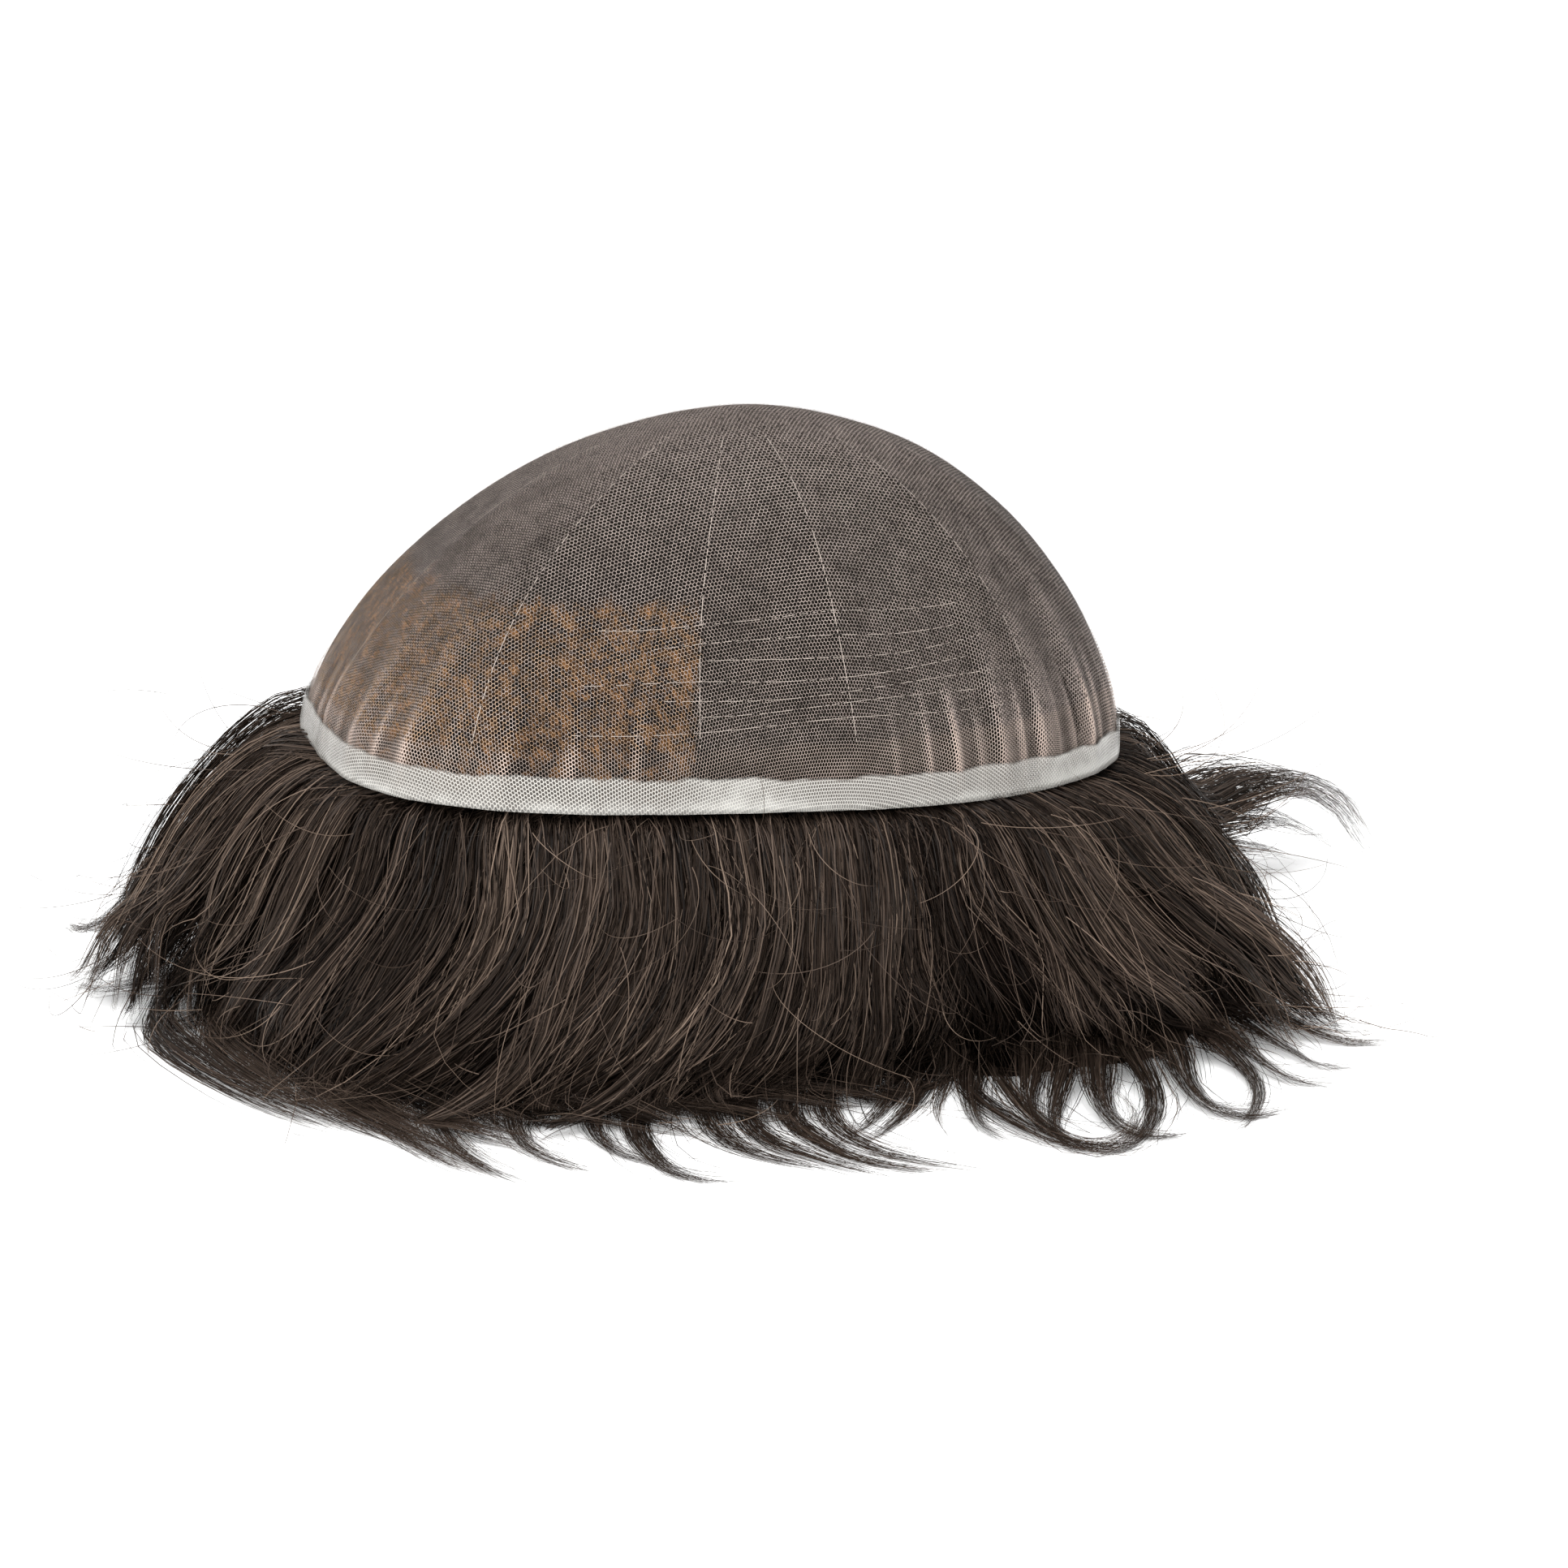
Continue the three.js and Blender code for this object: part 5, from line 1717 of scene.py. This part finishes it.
    def flyaways(self, count: int, finish: bpy.types.Material) -> bpy.types.Object:
        """Builds single hairs that leave the locks and curl through the air.

        Args:
            count: How many.
            finish: The hair's material.

        Returns:
            The hairs as one piece.
        """
        rng = np.random.default_rng(SEED + 5 + int(self.start))
        of = {key: values[:, None] for key, values in self.tuft_facts(rng, count, LAYERS[-1]).items()}
        of["depth"] = 0.1 * of["depth"]
        points = 24
        p = np.broadcast_to(np.linspace(0, 1, points), (count, points))
        way = self.ground(of, p, *self.fall(of, p, np.full((count, 1), -2 * MM)))
        leave = np.clip((rng.beta(1.6, 1.3, count) * (points - 1)).astype(int), 2, points - 2)
        rows = np.arange(count)
        spot = way[rows, leave]
        heading = unit(way[rows, leave] - way[rows, leave - 1])
        out = self.form.rim_normal(of["angle"][:, 0])
        heading += out * rng.uniform(0.0, 0.9, (count, 1)) + rng.normal(0, 0.3, (count, 3))
        heading[:, 2] += rng.uniform(0.0, 0.5, count)
        heading = unit(heading)
        sideways = unit(np.cross(heading, rng.normal(0, 1, (count, 3))))
        along = np.linspace(0, 1, self.fly_steps)
        length = rng.uniform(12, 55, (count, 1)) * MM * np.where(leave[:, None] < 10, 1.0, 0.7)
        turn = rng.uniform(0.3, 2.6, (count, 1)) * along ** rng.uniform(0.8, 1.4, (count, 1))
        stride = heading[:, None, :] * np.cos(turn)[..., None]
        stride = stride + sideways[:, None, :] * np.sin(turn)[..., None]
        line = spot[:, None, :] + np.cumsum(stride, axis=1) * (length / self.fly_steps)[..., None]
        line[..., 2] = np.maximum(line[..., 2], 0.3 * MM)
        across = unit(np.cross(stride, rng.normal(0, 1, (count, 1, 3))))
        across *= ((1.0 - 0.6 * along) * self.sizes.fly_ribbon / 2)[None, :, None]
        piece = Loom.ribbons(f"{self.zone.value}_flyaways", line, across, rng.uniform(0.5, 1.0, count))
        return Bench.seat(piece, finish, "hair")


@dataclass
class Studio:
    """The white surface, the soft lights and the camera."""

    form: HeadForm
    azimuth: float = -16.6
    elevation: float = 15.0
    distance: float = 1.0
    aim: tuple[float, float, float] = (6.54 * MM, -4.45 * MM, 52.5 * MM)
    sensor: float = 36.0
    frame_pixels: float = 1932.0
    focal_pixels: float = 5400.0
    sun_strength: float = 3.8
    sun_spread: float = 50.0
    sky_strength: float = 0.55

    def floor(self) -> bpy.types.Object:
        """Lays the white surface.

        Returns:
            The surface.
        """
        Bench.free()
        bpy.ops.mesh.primitive_plane_add(size=14.0, location=(0, 0, 0))
        made = bpy.context.object
        made.name = "floor"
        made.data.materials.append(FloorFinish().material())
        return made

    def light(self, name: str, place: tuple[float, float, float], size: float, watts: float) -> None:
        """Hangs one soft square light that points at the toupee.

        Args:
            name: The light's name.
            place: Where it hangs.
            size: Its side, in metres.
            watts: Its power.
        """
        lamp = bpy.data.lights.new(name, "AREA")
        lamp.shape = "SQUARE"
        lamp.size = size
        lamp.energy = watts
        holder = bpy.data.objects.new(name, lamp)
        bpy.context.scene.collection.objects.link(holder)
        holder.location = place
        holder.rotation_euler = (Vector((0, 0, 0.06)) - Vector(place)).to_track_quat("-Z", "Y").to_euler()

    def lights(self) -> None:
        """Hangs the lights and sets the sky."""
        sun = bpy.data.lights.new("key", "SUN")
        sun.energy = self.sun_strength
        sun.angle = math.radians(self.sun_spread)
        holder = bpy.data.objects.new("key", sun)
        bpy.context.scene.collection.objects.link(holder)
        holder.rotation_euler = Vector((0.35, 0.55, -1.0)).to_track_quat("-Z", "Y").to_euler()
        self.light("front_left", (-1.3, -1.2, 0.9), 0.7, 9.0)
        self.light("front_right", (1.2, -1.3, 0.8), 0.7, 6.0)
        world = bpy.data.worlds.new("studio")
        world.use_nodes = True
        sky = world.node_tree.nodes["Background"]
        sky.inputs["Color"].default_value = (1.0, 1.0, 1.0, 1.0)
        sky.inputs["Strength"].default_value = self.sky_strength
        bpy.context.scene.world = world
        bpy.context.scene.view_settings.view_transform = "Standard"

    def back(self) -> Vector:
        """Gives the direction from the toupee to the camera."""
        turn, lift = math.radians(self.azimuth), math.radians(self.elevation)
        return Vector((math.sin(turn) * math.cos(lift), -math.cos(turn) * math.cos(lift), math.sin(lift)))

    def seen(self, across: float, down: float, height: float) -> np.ndarray:
        """Finds the point that the photograph shows at a pixel.

        Args:
            across: The pixel's place from the left.
            down: Its place from the top.
            height: The point's height over the table, in millimetres.

        Returns:
            The point in the frame.
        """
        back = self.back()
        right = Vector((0, 0, 1)).cross(back).normalized()
        up = back.cross(right)
        half = self.frame_pixels / 2
        ray = right * (across - half) / self.focal_pixels + up * (half - down) / self.focal_pixels - back
        eye = Vector(self.aim) + Vector(self.form.centre) + back * self.distance
        return np.array(eye + ray * (height * MM - eye.z) / ray.z)

    def camera(self) -> None:
        """Sets the camera at the photograph's angle."""
        back = self.back()
        eye = bpy.data.cameras.new("photo_view")
        eye.sensor_width = self.sensor
        eye.lens = self.sensor * self.focal_pixels / self.frame_pixels
        eye.clip_start, eye.clip_end = 0.05, 50.0
        holder = bpy.data.objects.new("photo_view", eye)
        bpy.context.scene.collection.objects.link(holder)
        aim = Vector(self.aim) + Vector(self.form.centre)
        holder.location = aim + back * self.distance
        holder.rotation_euler = (-back).to_track_quat("-Z", "Y").to_euler()
        bpy.context.scene.camera = holder


def corners(box: tuple[Vector, Vector]) -> list[list[float]]:
    """Writes a box as two plain lists of numbers."""
    return [list(map(float, corner)) for corner in box]


def main() -> None:
    """Builds the studio, the base and the hair, and logs the pieces' face counts."""
    logging.basicConfig(level=logging.INFO, format="%(message)s")
    form = HeadForm()
    form.settle(*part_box("lace_base"))
    studio = Studio(form)
    studio.camera()
    studio.floor()
    studio.lights()

    base = NetBase(form)
    net = base.build()
    for piece in (net, base.creases(), CoatedEdge(form).build(), RootLayer(form).build()):
        LOG.info("%s: %d faces", piece.name, len(piece.data.polygons))

    sizes = HairSizes()
    strand_finish = StrandFinish().material()
    # The deeper layers get the darker copies of the hair finish: painted shade.
    layer_finishes = (SHADED_UNDER_HAIR.material(), SHADED_MIDDLE_HAIR.material(), strand_finish)
    shade_finish = ShadeFinish().material()
    zones = (
        HairZone(Zone.FRONT, 138, 222, form, sizes, 90, 5600),
        HairZone(Zone.LEFT, 222, 312, form, sizes, 100, 9400),
        HairZone(Zone.BACK, 312, 402, form, sizes, 90, 4800),
        HairZone(Zone.RIGHT, 42, 138, form, sizes, 84, 3800),
    )
    for zone in zones:
        LOG.info("%s: %d faces", zone.zone.value, len(zone.body(shade_finish).data.polygons))
        for layer, finish in zip(LAYERS, layer_finishes):
            piece = zone.lay_strands(layer, finish)
            LOG.info("%s: %d faces", piece.name, len(piece.data.polygons))
        if zone.zone is not Zone.RIGHT:
            LOG.info("%s", zone.wisps(studio, strand_finish).name)
        LOG.info("%s", zone.flyaways(zone.loose, strand_finish).name)


if __name__ == "__main__":
    main()
